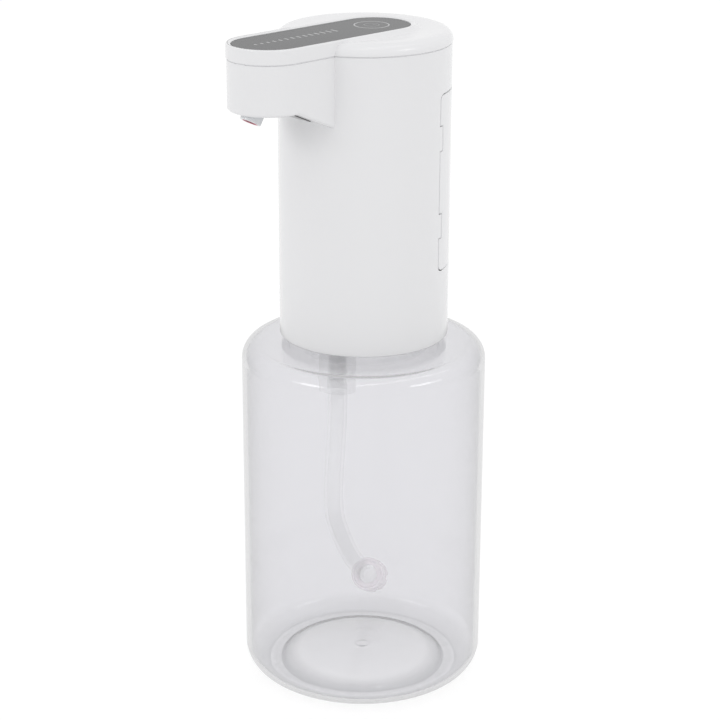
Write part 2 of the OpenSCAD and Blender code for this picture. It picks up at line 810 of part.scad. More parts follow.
module board_parts() {
    color("dimgray") translate([board_face, chip_y, chip_z]) cube([chip_t, chip_w, chip_w]);
    color("dimgray") translate([board_face, chip_y + 1, driver_z]) cube([driver_t, driver_w, driver_h]);
    for (plug = [motor_plug, cell_plug])
        color("ivory") translate([board_face, plug[0], plug_z]) cube([plug_t, plug[1], plug_h]);
    color("slategray") translate([board_face, capacitor_y, capacitor_z])
        rotate([0, 90, 0]) cylinder(d = capacitor_d, h = capacitor_h);
}

module wire_loom() {
    for (w = wires) color(w[0]) sweep(w[1], wire_r, n = 6);
}

// ---- sensor ----

module ir_window() {
    color([0.1, 0.1, 0.12]) on_slope() union() {
        window_plate(0, -window_proud, sensor_z);
        window_plate(window_flange, shell_wall + fit, sensor_z);
    }
}

module sensor_holder() {
    color("gray") on_slope() difference() {
        window_plate(window_flange - 0.1, sensor_z, sensor_z + holder_h);
        for (s = [-1, 1])
            rod([s * window_w / 4, sensor_y], sensor_d / 2 + fit, sensor_z - 1, sensor_z + holder_h + 1);
    }
}

module sensor_lamp(s) {
    on_slope() rod([s * window_w / 4, sensor_y], sensor_d / 2, sensor_z + sensor_gap, sensor_z + sensor_len);
}

module ir_emitter() {
    color("lightsteelblue") sensor_lamp(-1);
}

module ir_receiver() {
    color("black") sensor_lamp(1);
}

module sensor_board() {
    low = sensor_z + sensor_len;
    color("seagreen") on_slope() window_plate(sensor_gap, low, low + sensor_board_t);
}

// ---- nozzle and outlet ----

module nozzle() {
    tip_r = nozzle_tip_d / 2;
    r = nozzle_d / 2;
    color("whitesmoke") on_nozzle() rotate_extrude() polygon([
        [nozzle_mouth_r, 0], [tip_r - nozzle_edge, 0], [tip_r, nozzle_edge], [r, nozzle_flange / 2],
        [r, nozzle_flange], [nozzle_flange_r, nozzle_flange],
        [nozzle_flange_r, nozzle_flange + nozzle_flange_t],
        [barb_r, nozzle_flange + nozzle_flange_t], [barb_r, nozzle_top],
        [barb_r - nozzle_barb_wall, nozzle_top], [barb_r - nozzle_barb_wall, nozzle_mouth_depth],
        [nozzle_mouth_r, nozzle_mouth_depth]]);
}

module nozzle_valve() {
    r = nozzle_mouth_r - fit;
    color("ivory") on_nozzle() rotate_extrude() polygon([
        [valve_bore_r, nozzle_mouth_depth], [r, nozzle_mouth_depth],
        [r, nozzle_mouth_depth - valve_base_t], [valve_root_r, nozzle_mouth_depth - valve_base_t],
        [valve_lip_r, valve_lip_depth], [valve_slit_r, valve_lip_depth],
        [valve_bore_r, nozzle_mouth_depth - valve_base_t]]);
}

module nozzle_ring() {
    color("palevioletred") on_nozzle()
        tube(nozzle_mouth_r, nozzle_mouth_r - nozzle_ring_t, 0, nozzle_ring_len);
}

module outlet_tube() {
    color("white") sweep(outlet_route, tube_d / 2, tube_bore / 2, 12, [0, 1, 0]);
}

// ---- dip hose ----

module inlet_socket() {
    color("whitesmoke") difference() {
        union() {
            rod(inlet, socket_r, socket_z, deck_top);
            rod(inlet, socket_flange_r, deck_top - socket_flange_t, deck_top);
        }
        rod(inlet, hose_r + fit, socket_z - eps, socket_z + socket_grip);
        rod(inlet, inlet_r, socket_z, deck_top + eps);
    }
}

module dip_hose() {
    color("whitesmoke") sweep(hose_route, hose_r, hose_bore / 2, 10, [-0.86, -0.51, 0]);
}

module inlet_filter() {
    color("mistyrose") translate(filter_rim) rotate([0, filter_lean, filter_turn]) difference() {
        rod([0, 0], filter_r, 0, filter_len);
        rod([0, 0], hose_r + filter_fit, -1, filter_grip);
        rod([0, 0], filter_r - filter_wall, filter_grip - eps, filter_len + 1);
        for (i = [0:filter_slots - 1]) rotate([0, 0, 360 * i / filter_slots])
            translate([0, -filter_slot_w / 2, filter_len - filter_slot_h])
                cube([far, filter_slot_w, filter_slot_h + 1]);
    }
}

// ---- collar and deck ----

module neck_ring() {
    color("white") difference() {
        union() {
            tube(collar_r, collar_bore_r, collar_z, deck_z + eps);
            rod([0, 0], collar_r, deck_z, deck_top);
            thread_ridge(collar_bore_r + ridge_sink, neck_r + thread_gap,
                bottle_h + ridge_start - ridge_offset + thread_pitch * collar_ridge_lag / 360,
                collar_ridge_lag, 1);
            for (s = [-1, 1]) rod([s * tray_post[0], tray_post[1]], tray_post_r, deck_top - eps, tray_z);
        }
        rod(inlet, socket_r + fit, deck_z - 1, deck_top + 1);
        rod(inlet, socket_flange_r + fit, deck_top - socket_flange_t, deck_top + 1);
        for (a = collar_angles) {
            rod(collar_screw_r * [cos(a), sin(a)], small_screw_r + fit, collar_z, deck_top + 1);
            rod(collar_screw_r * [cos(a), sin(a)], small_head_r + fit, collar_z - 1, collar_screw_z);
        }
        for (p = pump_screws_at) rod(p, small_screw_r, deck_z + pilot_spare, deck_top + 1);
        for (s = [-1, 1]) rod([s * tray_post[0], tray_post[1]], small_screw_r, deck_top + 2, tray_z + 1);
    }
}

module neck_ring_screws() {
    color("silver") for (a = collar_angles)
        screw(collar_screw_r * [cos(a), sin(a)], small_screw_r, collar_screw_z,
            deck_top + boss_h - 1 - collar_screw_z, small_head_r, -1);
}

// ---- gear pump ----

module pump_plan() {
    for (s = [-1, 1]) translate([s * pump_pitch_r, pump_y]) circle(pump_cavity_r + pump_wall);
    translate([-pump_pitch_r, pump_y - pump_cavity_r - pump_wall])
        square([2 * pump_pitch_r, 2 * (pump_cavity_r + pump_wall)]);
    for (p = pump_screws_at) translate(p) circle(pump_ear_r);
    translate([0, pump_y + 2]) square([nipple_x, outlet_y + outlet_r + pump_outlet_w - pump_y - 2]);
}

module pump_body() {
    color("whitesmoke") difference() {
        union() {
            slab(pump_z, pump_top) pump_plan();
            translate([nipple_x - eps, outlet_y, outlet_z]) rotate([0, 90, 0])
                cylinder(r = barb_r, h = nipple_len);
        }
        for (s = [-1, 1]) rod([s * pump_pitch_r, pump_y], pump_cavity_r, pump_cavity_z, pump_top + 1);
        rod([pump_pitch_r, pump_y], shaft_r + running_gap, pump_cavity_z - shaft_sink, pump_top);
        rod([-pump_pitch_r, pump_y], shaft_r, pump_cavity_z - shaft_sink, pump_top);
        rod(inlet, inlet_r, pump_z - eps, pump_top + eps);
        translate([-inlet_r, inlet[1], pump_cavity_z]) cube([2 * inlet_r, 3, pump_gear_w + 1]);
        translate([-outlet_r, pump_y + 2.5, pump_cavity_z])
            cube([2 * outlet_r, outlet_y - pump_y - 1.4, outlet_z - pump_cavity_z + outlet_r]);
        translate([0, outlet_y, outlet_z]) rotate([0, 90, 0])
            cylinder(r = outlet_r - 0.4, h = nipple_x + nipple_len + 1);
        for (p = pump_screws_at) rod(p, small_screw_r + fit, pump_z - 1, pump_top + 1);
    }
}

// Plan of the gear case: round the wheel, round the pinion and the screws' ears
module case_plan(inset) {
    translate([pump_pitch_r, pump_y]) circle(case_r - inset);
    translate([motor_x, pump_y]) circle(case_end_r - inset);
    translate([motor_x, pump_y - case_end_r + inset]) square([wheel_r, 2 * (case_end_r - inset)]);
}

module case_ears() {
    for (p = case_screws_at) translate(p) circle(boss_r);
}

module pump_cover() {
    color("whitesmoke") difference() {
        union() {
            slab(pump_top, lid_top) {
                case_plan(0);
                pump_plan();
            }
            slab(lid_top - eps, plate_z) case_plan(0);
            slab(pump_top, plate_z) case_ears();
        }
        slab(lid_top, plate_z + 1) case_plan(case_wall);
        rod([pump_pitch_r, pump_y], shaft_r + running_gap, pump_top - 1, lid_top + 1);
        rod([pump_pitch_r, pump_y], shaft_r + seal_w, lid_top - seal_h, lid_top + 1);
        rod([-pump_pitch_r, pump_y], shaft_r, pump_top - 1, pump_top + shaft_sink);
        for (p = pump_screws_at) rod(p, small_screw_r + fit, pump_top - 1, lid_top + 1);
        for (p = case_screws_at) rod(p, small_screw_r, plate_z - case_screw_len, plate_z + 1);
    }
}

module pump_screws() {
    color("silver") for (p = pump_screws_at)
        screw(p, small_screw_r, lid_top, lid_top - deck_z - screw_short, small_head_r);
}

module pump_drive_gear() {
    color("ivory") translate([pump_pitch_r, pump_y, pump_cavity_z + pump_side_gap])
        gear(pump_module, pump_teeth, pump_gear_w, shaft_r, pump_pressure);
}

module pump_idler_gear() {
    color("ivory") translate([-pump_pitch_r, pump_y, pump_cavity_z + pump_side_gap])
        rotate([0, 0, 180 / pump_teeth])
            gear(pump_module, pump_teeth, pump_gear_w, shaft_r + running_gap, pump_pressure);
}

module drive_shaft() {
    color("silver") rod([pump_pitch_r, pump_y], shaft_r, pump_cavity_z - shaft_sink + 0.1, wheel_top);
}

module idler_pin() {
    color("silver") rod([-pump_pitch_r, pump_y], shaft_r, pump_cavity_z - shaft_sink, pump_top + shaft_sink);
}

module shaft_seal() {
    color("black") translate([pump_pitch_r, pump_y, 0])
        tube(shaft_r + seal_w, shaft_r + running_gap, lid_top - seal_h, lid_top);
}

module reduction_gear() {
    color("ivory") translate([pump_pitch_r, pump_y, wheel_z])
        gear(gear_module, wheel_teeth, wheel_w, shaft_r);
}

// ---- motor ----

module motor_pinion() {
    color("gold") translate([motor_x, pump_y, wheel_z - 0.2])
        rotate([0, 0, 180 / pinion_teeth]) gear(gear_module, pinion_teeth, wheel_w + 0.3, motor_shaft_r);
}

module motor_shaft() {
    color("silver") rod([motor_x, pump_y], motor_shaft_r, wheel_z - 0.2, motor_top + motor_cap_h - 1);
}

module motor_plan(inset) {
    intersection() {
        circle(motor_d / 2 - inset);
        square([motor_d, motor_flat - 2 * inset], center = true);
    }
}

module motor_can() {
    color("silver") translate([motor_x, pump_y, 0]) difference() {
        union() {
            slab(motor_z, motor_top) motor_plan(0);
            rod([0, 0], motor_nose_r, plate_z, motor_z + eps);
        }
        slab(motor_z + can_wall, motor_top + 1) motor_plan(can_wall);
        rod([0, 0], motor_shaft_r + running_gap, plate_z - 1, motor_top);
        for (s = [-1, 1]) rod([s * motor_screw_x, 0], small_screw_r, motor_z - 1, motor_z + 2);
    }
}

module motor_magnets() {
    color("dimgray") translate([motor_x, pump_y, 0]) difference() {
        intersection() {
            tube(motor_d / 2 - can_wall, magnet_bore_r, motor_z + magnet_end, motor_top - magnet_end);
            slab(motor_z, motor_top) motor_plan(can_wall);
        }
        translate([-magnet_parting / 2, -far / 2, motor_z]) cube([magnet_parting, far, far]);
    }
}

module motor_armature() {
    color("sienna") translate([motor_x, pump_y, 0])
        tube(armature_r, motor_shaft_r, motor_z + armature_end, motor_top - armature_end);
}

module motor_end_cap() {
    color("black") translate([motor_x, pump_y, 0]) difference() {
        slab(motor_top, motor_top + motor_cap_h) motor_plan(0.3);
        rod([0, 0], motor_shaft_r + running_gap, motor_top - 1, motor_top + motor_cap_h - 0.9);
    }
}

module motor_terminals() {
    color("goldenrod") for (s = [-1, 1])
        translate([motor_x - terminal_w / 2, pump_y + s * terminal_y - terminal_t / 2, terminal_z])
            cube([terminal_w, terminal_t, terminal_h]);
}

module motor_screws() {
    color("silver") for (s = [-1, 1])
        screw([motor_x + s * motor_screw_x, pump_y], small_screw_r, plate_z,
            motor_screw_len, small_head_r, -1);
}

module gearbox_plate() {
    color("gainsboro") difference() {
        slab(plate_z, motor_z) {
            case_plan(0);
            case_ears();
            translate([motor_x, pump_y]) circle(motor_d / 2 - 1);
        }
        rod([motor_x, pump_y], motor_nose_r + fit, plate_z - 1, motor_z + 1);
        for (s = [-1, 1])
            rod([motor_x + s * motor_screw_x, pump_y], small_screw_r + fit, plate_z - 1, motor_z + 1);
        for (p = case_screws_at) rod(p, small_screw_r + fit, plate_z - 1, motor_z + 1);
    }
}

module gearbox_screws() {
    color("silver") for (p = case_screws_at)
        screw(p, small_screw_r, motor_z, case_screw_len + plate_t - pilot_spare, small_head_r);
}

// ---- batteries ----

module tray_sector(r0, r1, z0, z1, span) {
    intersection() {
        tube(r1, r0, z0, z1);
        slab(z0 - 1, z1 + 1) polygon([[0, 0], far * [sin(span), cos(span)],
            [far, far], [-far, far], far * [-sin(span), cos(span)]]);
    }
}

module battery_tray() {
    color("whitesmoke") difference() {
        union() {
            tray_sector(tray_inner_r, tray_r, tray_z, tray_floor, tray_span);
            tray_sector(tray_inner_r, tray_r, tray_roof, tray_top, tray_span);
            tray_sector(tray_inner_r, tray_inner_r + tray_wall,
                tray_floor - eps, tray_roof + eps, tray_span);
            for (p = rear_screws) rod(p, boss_r, tray_top - eps, cover_under);
        }
        for (p = rear_screws) rod(p, cover_screw_r, cover_screw_tip - pilot_spare, cover_under + 1);
        for (s = [-1, 1])
            rod([s * tray_post[0], tray_post[1]], small_screw_r + fit, tray_z - 1, tray_floor + 1);
        slab(tray_z - 1, motor_z + clear) case_plan(-clear);
    }
}

module tray_screws() {
    color("silver") for (s = [-1, 1])
        screw([s * tray_post[0], tray_post[1]], small_screw_r, tray_floor, tray_screw_len, small_head_r);
}

function cell_at(i) = cell_orbit * [cos(cell_angles[i]), sin(cell_angles[i])];
function cell_up(i) = i % 2 == 0;
function cell_z(i) = cell_up(i) ? cell_low + spring_len : cell_low;

module battery_cell(i) {
    r = cell_d / 2;
    body_len = cell_len - cell_nub_h;
    color("slategray") translate([cell_at(i)[0], cell_at(i)[1], cell_z(i) + (cell_up(i) ? 0 : cell_len)])
        rotate([cell_up(i) ? 0 : 180, 0, 0]) rotate_extrude() polygon([[0, 0], [r - cell_edge, 0],
            [r, cell_edge], [r, body_len - cell_edge], [r - cell_edge, body_len],
            [cell_nub_r, body_len], [cell_nub_r, cell_len], [0, cell_len]]);
}
module battery_cell_1() { battery_cell(0); }
module battery_cell_2() { battery_cell(1); }
module battery_cell_3() { battery_cell(2); }
module battery_cell_4() { battery_cell(3); }

module battery_springs() {
    color("silver") for (i = [0:3])
        translate([cell_at(i)[0], cell_at(i)[1], cell_up(i) ? cell_low : cell_low + cell_len + spring_len])
            rotate([cell_up(i) ? 0 : 180, 0, 0]) translate([0, 0, spring_wire / 2])
                sweep(coil(cell_coil_low_r, cell_coil_top_r, spring_len - spring_wire, 4),
                    spring_wire / 2, n = 6, side = [0, 0, 1]);
}

module contact(cells, z) {
    slab(z, z + contact_t) {
        for (i = cells) translate(cell_at(i)) circle(contact_r);
        if (len(cells) == 2) {
            a = cell_at(cells[0]);
            b = cell_at(cells[1]);
            translate(a) rotate(atan2(b[1] - a[1], b[0] - a[0]))
                translate([0, -contact_r / 2]) square([norm(b - a), contact_r]);
        }
    }
}

module contact_plates() {
    color("silver") difference() {
        union() {
            contact([0, 1], tray_roof - contact_t);
            contact([2, 3], tray_roof - contact_t);
            contact([1, 2], tray_floor);
            contact([0], tray_floor);
            contact([3], tray_floor);
        }
        for (s = [-1, 1])
            rod([s * tray_post[0], tray_post[1]], small_head_r + cell_gap, tray_floor - 1, tray_floor + 2);
    }
}

body_shell();
top_cover();
cover_screws();
touch_panel();
touch_board();
touch_spring();
status_led();
main_board();
board_parts();
wire_loom();
ir_window();
sensor_holder();
ir_emitter();
ir_receiver();
sensor_board();
nozzle();
nozzle_valve();
nozzle_ring();
outlet_tube();
inlet_socket();
dip_hose();
inlet_filter();
neck_ring();
neck_ring_screws();
pump_body();
pump_cover();
pump_screws();
pump_drive_gear();
pump_idler_gear();
drive_shaft();
idler_pin();
shaft_seal();
reduction_gear();
motor_pinion();
motor_shaft();
motor_armature();
motor_magnets();
motor_can();
motor_end_cap();
motor_terminals();
motor_screws();
gearbox_plate();
gearbox_screws();
battery_tray();
tray_screws();
battery_cell_1();
battery_cell_2();
battery_cell_3();
battery_cell_4();
battery_springs();
contact_plates();
battery_door();
seal_ring();
bottle();
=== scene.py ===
import math

import bmesh
import bpy
import numpy as np
from mathutils import Matrix, Vector


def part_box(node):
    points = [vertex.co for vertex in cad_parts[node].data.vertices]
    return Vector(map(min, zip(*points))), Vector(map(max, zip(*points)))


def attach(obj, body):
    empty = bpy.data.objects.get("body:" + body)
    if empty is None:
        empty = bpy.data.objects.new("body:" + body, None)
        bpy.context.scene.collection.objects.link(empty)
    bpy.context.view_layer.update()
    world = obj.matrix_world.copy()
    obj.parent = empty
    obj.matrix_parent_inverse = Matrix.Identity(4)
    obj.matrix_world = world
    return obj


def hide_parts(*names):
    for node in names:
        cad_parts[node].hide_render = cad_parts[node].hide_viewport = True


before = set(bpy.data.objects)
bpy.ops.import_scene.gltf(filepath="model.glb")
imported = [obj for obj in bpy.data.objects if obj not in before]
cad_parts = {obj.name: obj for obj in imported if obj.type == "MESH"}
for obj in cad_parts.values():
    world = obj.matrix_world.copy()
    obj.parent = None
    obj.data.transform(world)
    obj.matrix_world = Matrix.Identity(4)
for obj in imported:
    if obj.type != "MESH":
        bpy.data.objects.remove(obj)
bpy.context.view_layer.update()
mm = 0.001


def corners(node):
    low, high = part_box(node)
    return np.array(low), np.array(high)


bottleHigh = corners("bottle")[1]
shellLow, shellHigh = corners("body_shell")
coverLow, coverHigh = corners("top_cover")
panelLow, panelHigh = corners("touch_panel")
doorLow, doorHigh = corners("battery_door")
socketLow, socketHigh = corners("inlet_socket")
sealRadius = corners("seal_ring")[1][0]
deck = corners("pump_body")[0][2]          # top of the plate that carries the pump

panelRadius = panelHigh[0]
noseY = panelLow[1] + panelRadius          # middle of the arm's round nose
rearY = panelHigh[1] - panelRadius         # middle of the panel's round rear end
towerRadius = shellHigh[1]
armRadius = noseY - shellLow[1]


# where the camera stands and which way it looks
view = {
    "lens": 105.4,                         # lens and sensor in mm
    "sensor": 36,
    "place": (0.4442, -0.4198, 0.3255),
    "heading": 46.72,                      # degrees round from looking along +Y
    "tiltDown": 20.06,
    "roll": 0.196,
}


def addObject(name, data):
    thing = bpy.data.objects.new(name, data)
    bpy.context.scene.collection.objects.link(thing)
    return thing


def makeCamera():
    heading, down, roll = (math.radians(view[k]) for k in ("heading", "tiltDown", "roll"))
    level = math.cos(down)
    forward = Vector((-math.sin(heading) * level, math.cos(heading) * level, -math.sin(down)))
    side = Vector((math.cos(heading), math.sin(heading), 0))
    up = side.cross(forward)
    right = side * math.cos(roll) + up * math.sin(roll)
    up = right.cross(forward)
    camera = addObject("camera", bpy.data.cameras.new("camera"))
    camera.data.lens = view["lens"]
    camera.data.sensor_width = view["sensor"]
    camera.data.clip_start = 0.01
    turn = Matrix((right, up, -forward)).transposed().to_4x4()
    camera.matrix_world = Matrix.Translation(view["place"]) @ turn
    bpy.context.scene.camera = camera


makeCamera()
print("camera ready")


def gridCells(rows, cols, wrapCols=False, wrapRows=False):
    # the four corners of each cell in a grid of points, with its last row or column joined to the first
    index = np.arange(rows * cols).reshape(rows, cols)
    if wrapCols:
        index = np.hstack([index, index[:, :1]])
    if wrapRows:
        index = np.vstack([index, index[:1]])
    return index[:-1, :-1], index[:-1, 1:], index[1:, 1:], index[1:, :-1]


def surface(points, **wrap):
    return points.reshape(-1, 3), np.stack(gridCells(*points.shape[:2], **wrap), axis=-1).reshape(-1, 4)


def walled(outer, inner, keep=None, wrapCols=False):
    # two copies of one grid, the outer and the inner face of a wall, joined by a strip wherever a kept cell
    # has no kept neighbour
    a, b, c, d = gridCells(*outer.shape[:2], wrapCols=wrapCols)
    if keep is None:
        keep = np.ones(a.shape, bool)
    left = np.roll(keep, 1, axis=1)
    right = np.roll(keep, -1, axis=1)
    if not wrapCols:
        left[:, 0] = right[:, -1] = False
    below = np.vstack([np.zeros_like(keep[:1]), keep[:-1]])
    above = np.vstack([keep[1:], np.zeros_like(keep[:1])])
    n = outer[..., 0].size
    faces = [np.stack([a, b, c, d], -1)[keep], np.stack([a, d, c, b], -1)[keep] + n]
    for start, end, other in ((a, b, below), (b, c, right), (c, d, above), (d, a, left)):
        edge = keep & ~other
        faces.append(np.stack([end[edge], start[edge], start[edge] + n, end[edge] + n], -1))
    return np.vstack([outer.reshape(-1, 3), inner.reshape(-1, 3)]), np.vstack(faces)


def fullTurn(segments):
    return np.linspace(0, 2 * np.pi, segments, endpoint=False)


def turned(radius, height, turn):
    # a radius and a height at each angle round the vertical axis
    return np.stack([radius * np.cos(turn), radius * np.sin(turn), height + 0 * turn], axis=-1)


def lathe(profile, segments, **wrap):
    # a profile of (radius, height) turned once round the vertical axis
    radius, height = np.asarray(profile).T[:, :, None]
    return surface(turned(radius, height, fullTurn(segments)), wrapCols=True, **wrap)


def rounded(points, steps=6, support=0.2):
    # a line through (x, z, radius) corners: each corner is an arc tangent to its two sides, with one more
    # point just before and just after it, so that the flat beside a small round still shades flat
    line = []
    for i, (x, z, radius) in enumerate(points):
        here = np.array([x, z])
        if radius == 0 or i in (0, len(points) - 1):
            line.append(here)
            continue
        back = np.array(points[i - 1][:2]) - here
        ahead = np.array(points[i + 1][:2]) - here
        reach = min(np.linalg.norm(back), np.linalg.norm(ahead))
        back, ahead = back / np.linalg.norm(back), ahead / np.linalg.norm(ahead)
        half = math.acos(np.clip(back @ ahead, -1, 1)) / 2
        tangent = radius / math.tan(half)
        centre = here + (back + ahead) / np.linalg.norm(back + ahead) * radius / math.sin(half)
        start, end = here + back * tangent - centre, here + ahead * tangent - centre
        sweep = math.pi - 2 * half
        share = np.linspace(0, 1, steps + 1)[:, None]
        arc = centre + (np.sin((1 - share) * sweep) * start + np.sin(share * sweep) * end) / math.sin(sweep)
        extra = tangent + min(tangent * support, (reach - tangent) * 0.45)
        line += [here + back * extra, *arc, here + ahead * extra]
    return np.array(line)


def roundOff(distance, radius):
    # how far a surface drops towards an edge that is rounded with this radius, at each distance from the edge
    short = radius - np.clip(distance, 0, radius)
    return radius - np.sqrt(radius ** 2 - short ** 2)


def smooth(x):
    x = np.clip(x, 0, 1)
    return x * x * (3 - 2 * x)


def blockPart(low, high):
    pick = np.array([[i & 1, i >> 1 & 1, i >> 2] for i in range(8)])
    faces = np.array([[0, 2, 3, 1], [4, 5, 7, 6], [0, 1, 5, 4], [2, 6, 7, 3], [0, 4, 6, 2], [1, 3, 7, 5]])
    return np.where(pick, np.array(high), np.array(low)), faces


def moved(part, origin, axes=np.eye(3)):
    # the same part carried to a new origin, with its x, y and z along the three given axes
    return part[0] @ np.array(axes) + np.array(origin), part[1]


def makePiece(name, parts, material, body, replaced=(), sharp=40):
    # one object from one or more (points, faces) parts, closed at its seams and poles, faces outwards
    offsets = np.cumsum([0] + [len(points) for points, faces in parts])
    mesh = bpy.data.meshes.new(name)
    points = np.vstack([points for points, faces in parts])
    faces = np.vstack([faces + offset for (_, faces), offset in zip(parts, offsets)])
    mesh.from_pydata(points.tolist(), [], faces.tolist())
    shape = bmesh.new()
    shape.from_mesh(mesh)
    bmesh.ops.remove_doubles(shape, verts=shape.verts, dist=1e-6)
    bmesh.ops.dissolve_degenerate(shape, edges=shape.edges, dist=1e-7)
    bmesh.ops.recalc_face_normals(shape, faces=shape.faces)
    shape.to_mesh(mesh)
    shape.free()
    mesh.shade_smooth()
    mesh.set_sharp_from_angle(angle=math.radians(sharp))
    mesh.materials.append(material)
    piece = addObject(name, mesh)
    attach(piece, body)
    if replaced:
        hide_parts(*replaced)
    return piece


def newGroup(name, inputs, outputs):
    group = bpy.data.node_groups.new(name, "ShaderNodeTree")
    for kinds, way in ((inputs, "INPUT"), (outputs, "OUTPUT")):
        for label, kind, value in kinds:
            socket = group.interface.new_socket(label, in_out=way, socket_type="NodeSocket" + kind)
            if value is not None:
                socket.default_value = value
    return group, group.nodes.new("NodeGroupInput"), group.nodes.new("NodeGroupOutput")


def feed(tree, socket, value):
    # an input takes a link from another node, or a plain value
    if isinstance(value, bpy.types.NodeSocket):
        tree.links.new(value, socket)
    else:
        socket.default_value = value


def addNode(tree, kind, inputs=(), **values):
    # a node with its properties and inputs set by name, and its other inputs fed
    node = tree.nodes.new("ShaderNode" + kind)
    for key, value in values.items():
        if hasattr(node, key):
            setattr(node, key, value)
        else:
            node.inputs[key.replace("_", " ")].default_value = value
    for key, value in dict(inputs).items():
        feed(tree, node.inputs[key], value)
    return node


def objectPlace(tree):
    return addNode(tree, "TexCoord").outputs["Object"]


def objectAxes(tree):
    return addNode(tree, "SeparateXYZ", {0: objectPlace(tree)}).outputs


def mathNode(tree, operation, *values):
    return addNode(tree, "Math", enumerate(values), operation=operation).outputs[0]


def vectorNode(tree, operation, *values):
    return addNode(tree, "VectorMath", enumerate(values), operation=operation)


def mixColour(tree, factor, first, second, blend="MIX"):
    inputs = {0: factor, 6: first, 7: second}
    return addNode(tree, "Mix", inputs, data_type="RGBA", blend_type=blend).outputs[2]


def axisDistance(tree, x, y):
    # the square root of x * x + y * y
    squares = [mathNode(tree, "MULTIPLY", side, side) for side in (x, y)]
    return mathNode(tree, "SQRT", mathNode(tree, "ADD", *squares))


def shareBetween(tree, value, start, end, **ends):
    # 0 at start and 1 at end, or the two values named in ends
    return addNode(tree, "MapRange", {0: value}, From_Min=start, From_Max=end, **ends).outputs[0]


def grey(level):
    return level, level, level, 1


def giveOut(group, out, *sources):
    for index, source in enumerate(sources):
        group.links.new(source, out.inputs[index])
    return group


def mouldedSurface():
    # moulded plastic: slow changes of tone, a fine grain in the height, and roughness that follows both
    group, given, out = newGroup("mouldedSurface",
        [("Colour", "Color", None), ("Tone", "Float", 0.02), ("Grain Size", "Float", 0.4 * mm),
         ("Roughness", "Float", 0.35), ("Roughness Spread", "Float", 0.05)],
        [("Colour", "Color", None), ("Roughness", "Float", None), ("Height", "Float", None)])
    place = objectPlace(group)
    fineScale = mathNode(group, "DIVIDE", 1, given.outputs["Grain Size"])
    slow = addNode(group, "TexNoise", {"Vector": place}, Scale=35.0, Detail=2.0)
    fine = addNode(group, "TexNoise", {"Vector": place, "Scale": fineScale}, Detail=3.0)
    swing = mathNode(group, "SUBTRACT", slow.outputs["Fac"], 0.5)
    dark = mathNode(group, "MULTIPLY_ADD", mathNode(group, "MULTIPLY", swing, 2), given.outputs["Tone"], 1)
    tint = addNode(group, "CombineColor", {0: dark, 1: dark, 2: dark})
    colour = mixColour(group, 1.0, given.outputs["Colour"], tint.outputs[0], "MULTIPLY")
    both = mathNode(group, "ADD", swing, mathNode(group, "SUBTRACT", fine.outputs["Fac"], 0.5))
    spread = given.outputs["Roughness Spread"]
    rough = mathNode(group, "MULTIPLY_ADD", both, spread, given.outputs["Roughness"])
    return giveOut(group, out, colour, rough, fine.outputs["Fac"])


def brushedSurface():
    # worked metal: fine lines drawn round or along the piece, seen in tone, roughness and height
    group, given, out = newGroup("brushedSurface",
        [("Colour", "Color", None), ("Tone", "Float", 0.1), ("Stretch", "Vector", (1, 1, 12)),
         ("Roughness", "Float", 0.3)],
        [("Colour", "Color", None), ("Roughness", "Float", None), ("Height", "Float", None)])
    stretched = vectorNode(group, "MULTIPLY", objectPlace(group), given.outputs["Stretch"])
    lines = addNode(group, "TexNoise", {"Vector": stretched.outputs[0]}, Scale=400.0, Detail=4.0)
    swing = mathNode(group, "SUBTRACT", lines.outputs["Fac"], 0.5)
    level = mathNode(group, "MULTIPLY_ADD", swing, given.outputs["Tone"], 1)
    tint = addNode(group, "CombineColor", {0: level, 1: level, 2: level})
    colour = mixColour(group, 1.0, given.outputs["Colour"], tint.outputs[0], "MULTIPLY")
    rough = mathNode(group, "MULTIPLY_ADD", swing, 0.25, given.outputs["Roughness"])
    return giveOut(group, out, colour, rough, lines.outputs["Fac"])


moulded = mouldedSurface()
brushed = brushedSurface()


def setInputs(node, values):
    for key, value in values.items():
        node.inputs[key.replace("_", " ")].default_value = value


def newMaterial(name, **values):
    material = bpy.data.materials.new(name)
    material.use_nodes = True
    shader = material.node_tree.nodes["Principled BSDF"]
    setInputs(shader, values)
    return material, material.node_tree, shader


def placeGroup(tree, group, **values):
    node = tree.nodes.new("ShaderNodeGroup")
    node.node_tree = group
    setInputs(node, values)
    return node


def bumpTo(tree, shader, height, depth):
    bump = addNode(tree, "Bump", {"Height": height}, Strength=1.0, Distance=depth)
    tree.links.new(bump.outputs["Normal"], shader.inputs["Normal"])


def wearSkin(tree, shader, skin, depth=0, colour=None):
    # the group's colour, or one worked out from it, and its roughness and height go to the surface
    tree.links.new(skin.outputs["Colour"] if colour is None else colour, shader.inputs["Base Color"])
    tree.links.new(skin.outputs["Roughness"], shader.inputs["Roughness"])
    if depth:
        bumpTo(tree, shader, skin.outputs["Height"], depth)


def mouldedSkin(tree, colour, roughness=0.35, tone=0.015, grain=0.4 * mm, spread=0.06):
    return placeGroup(tree, moulded, Colour=(*colour, 1), Tone=tone, Grain_Size=grain, Roughness=roughness,
        Roughness_Spread=spread)


def mouldedPlastic(name, colour, roughness=0.35, tone=0.015, grain=0.4 * mm, depth=0.004 * mm, spread=0.06,
        **values):
    material, tree, shader = newMaterial(name, **values)
    wearSkin(tree, shader, mouldedSkin(tree, colour, roughness, tone, grain, spread), depth)
    return material


def brushedMetal(name, colour, roughness=0.3, tone=0.15, stretch=(1, 1, 12), depth=0.002 * mm, **values):
    material, tree, shader = newMaterial(name, Metallic=1.0, **values)
    skin = placeGroup(tree, brushed, Colour=(*colour, 1), Tone=tone, Stretch=stretch, Roughness=roughness)
    wearSkin(tree, shader, skin, depth)
    return material


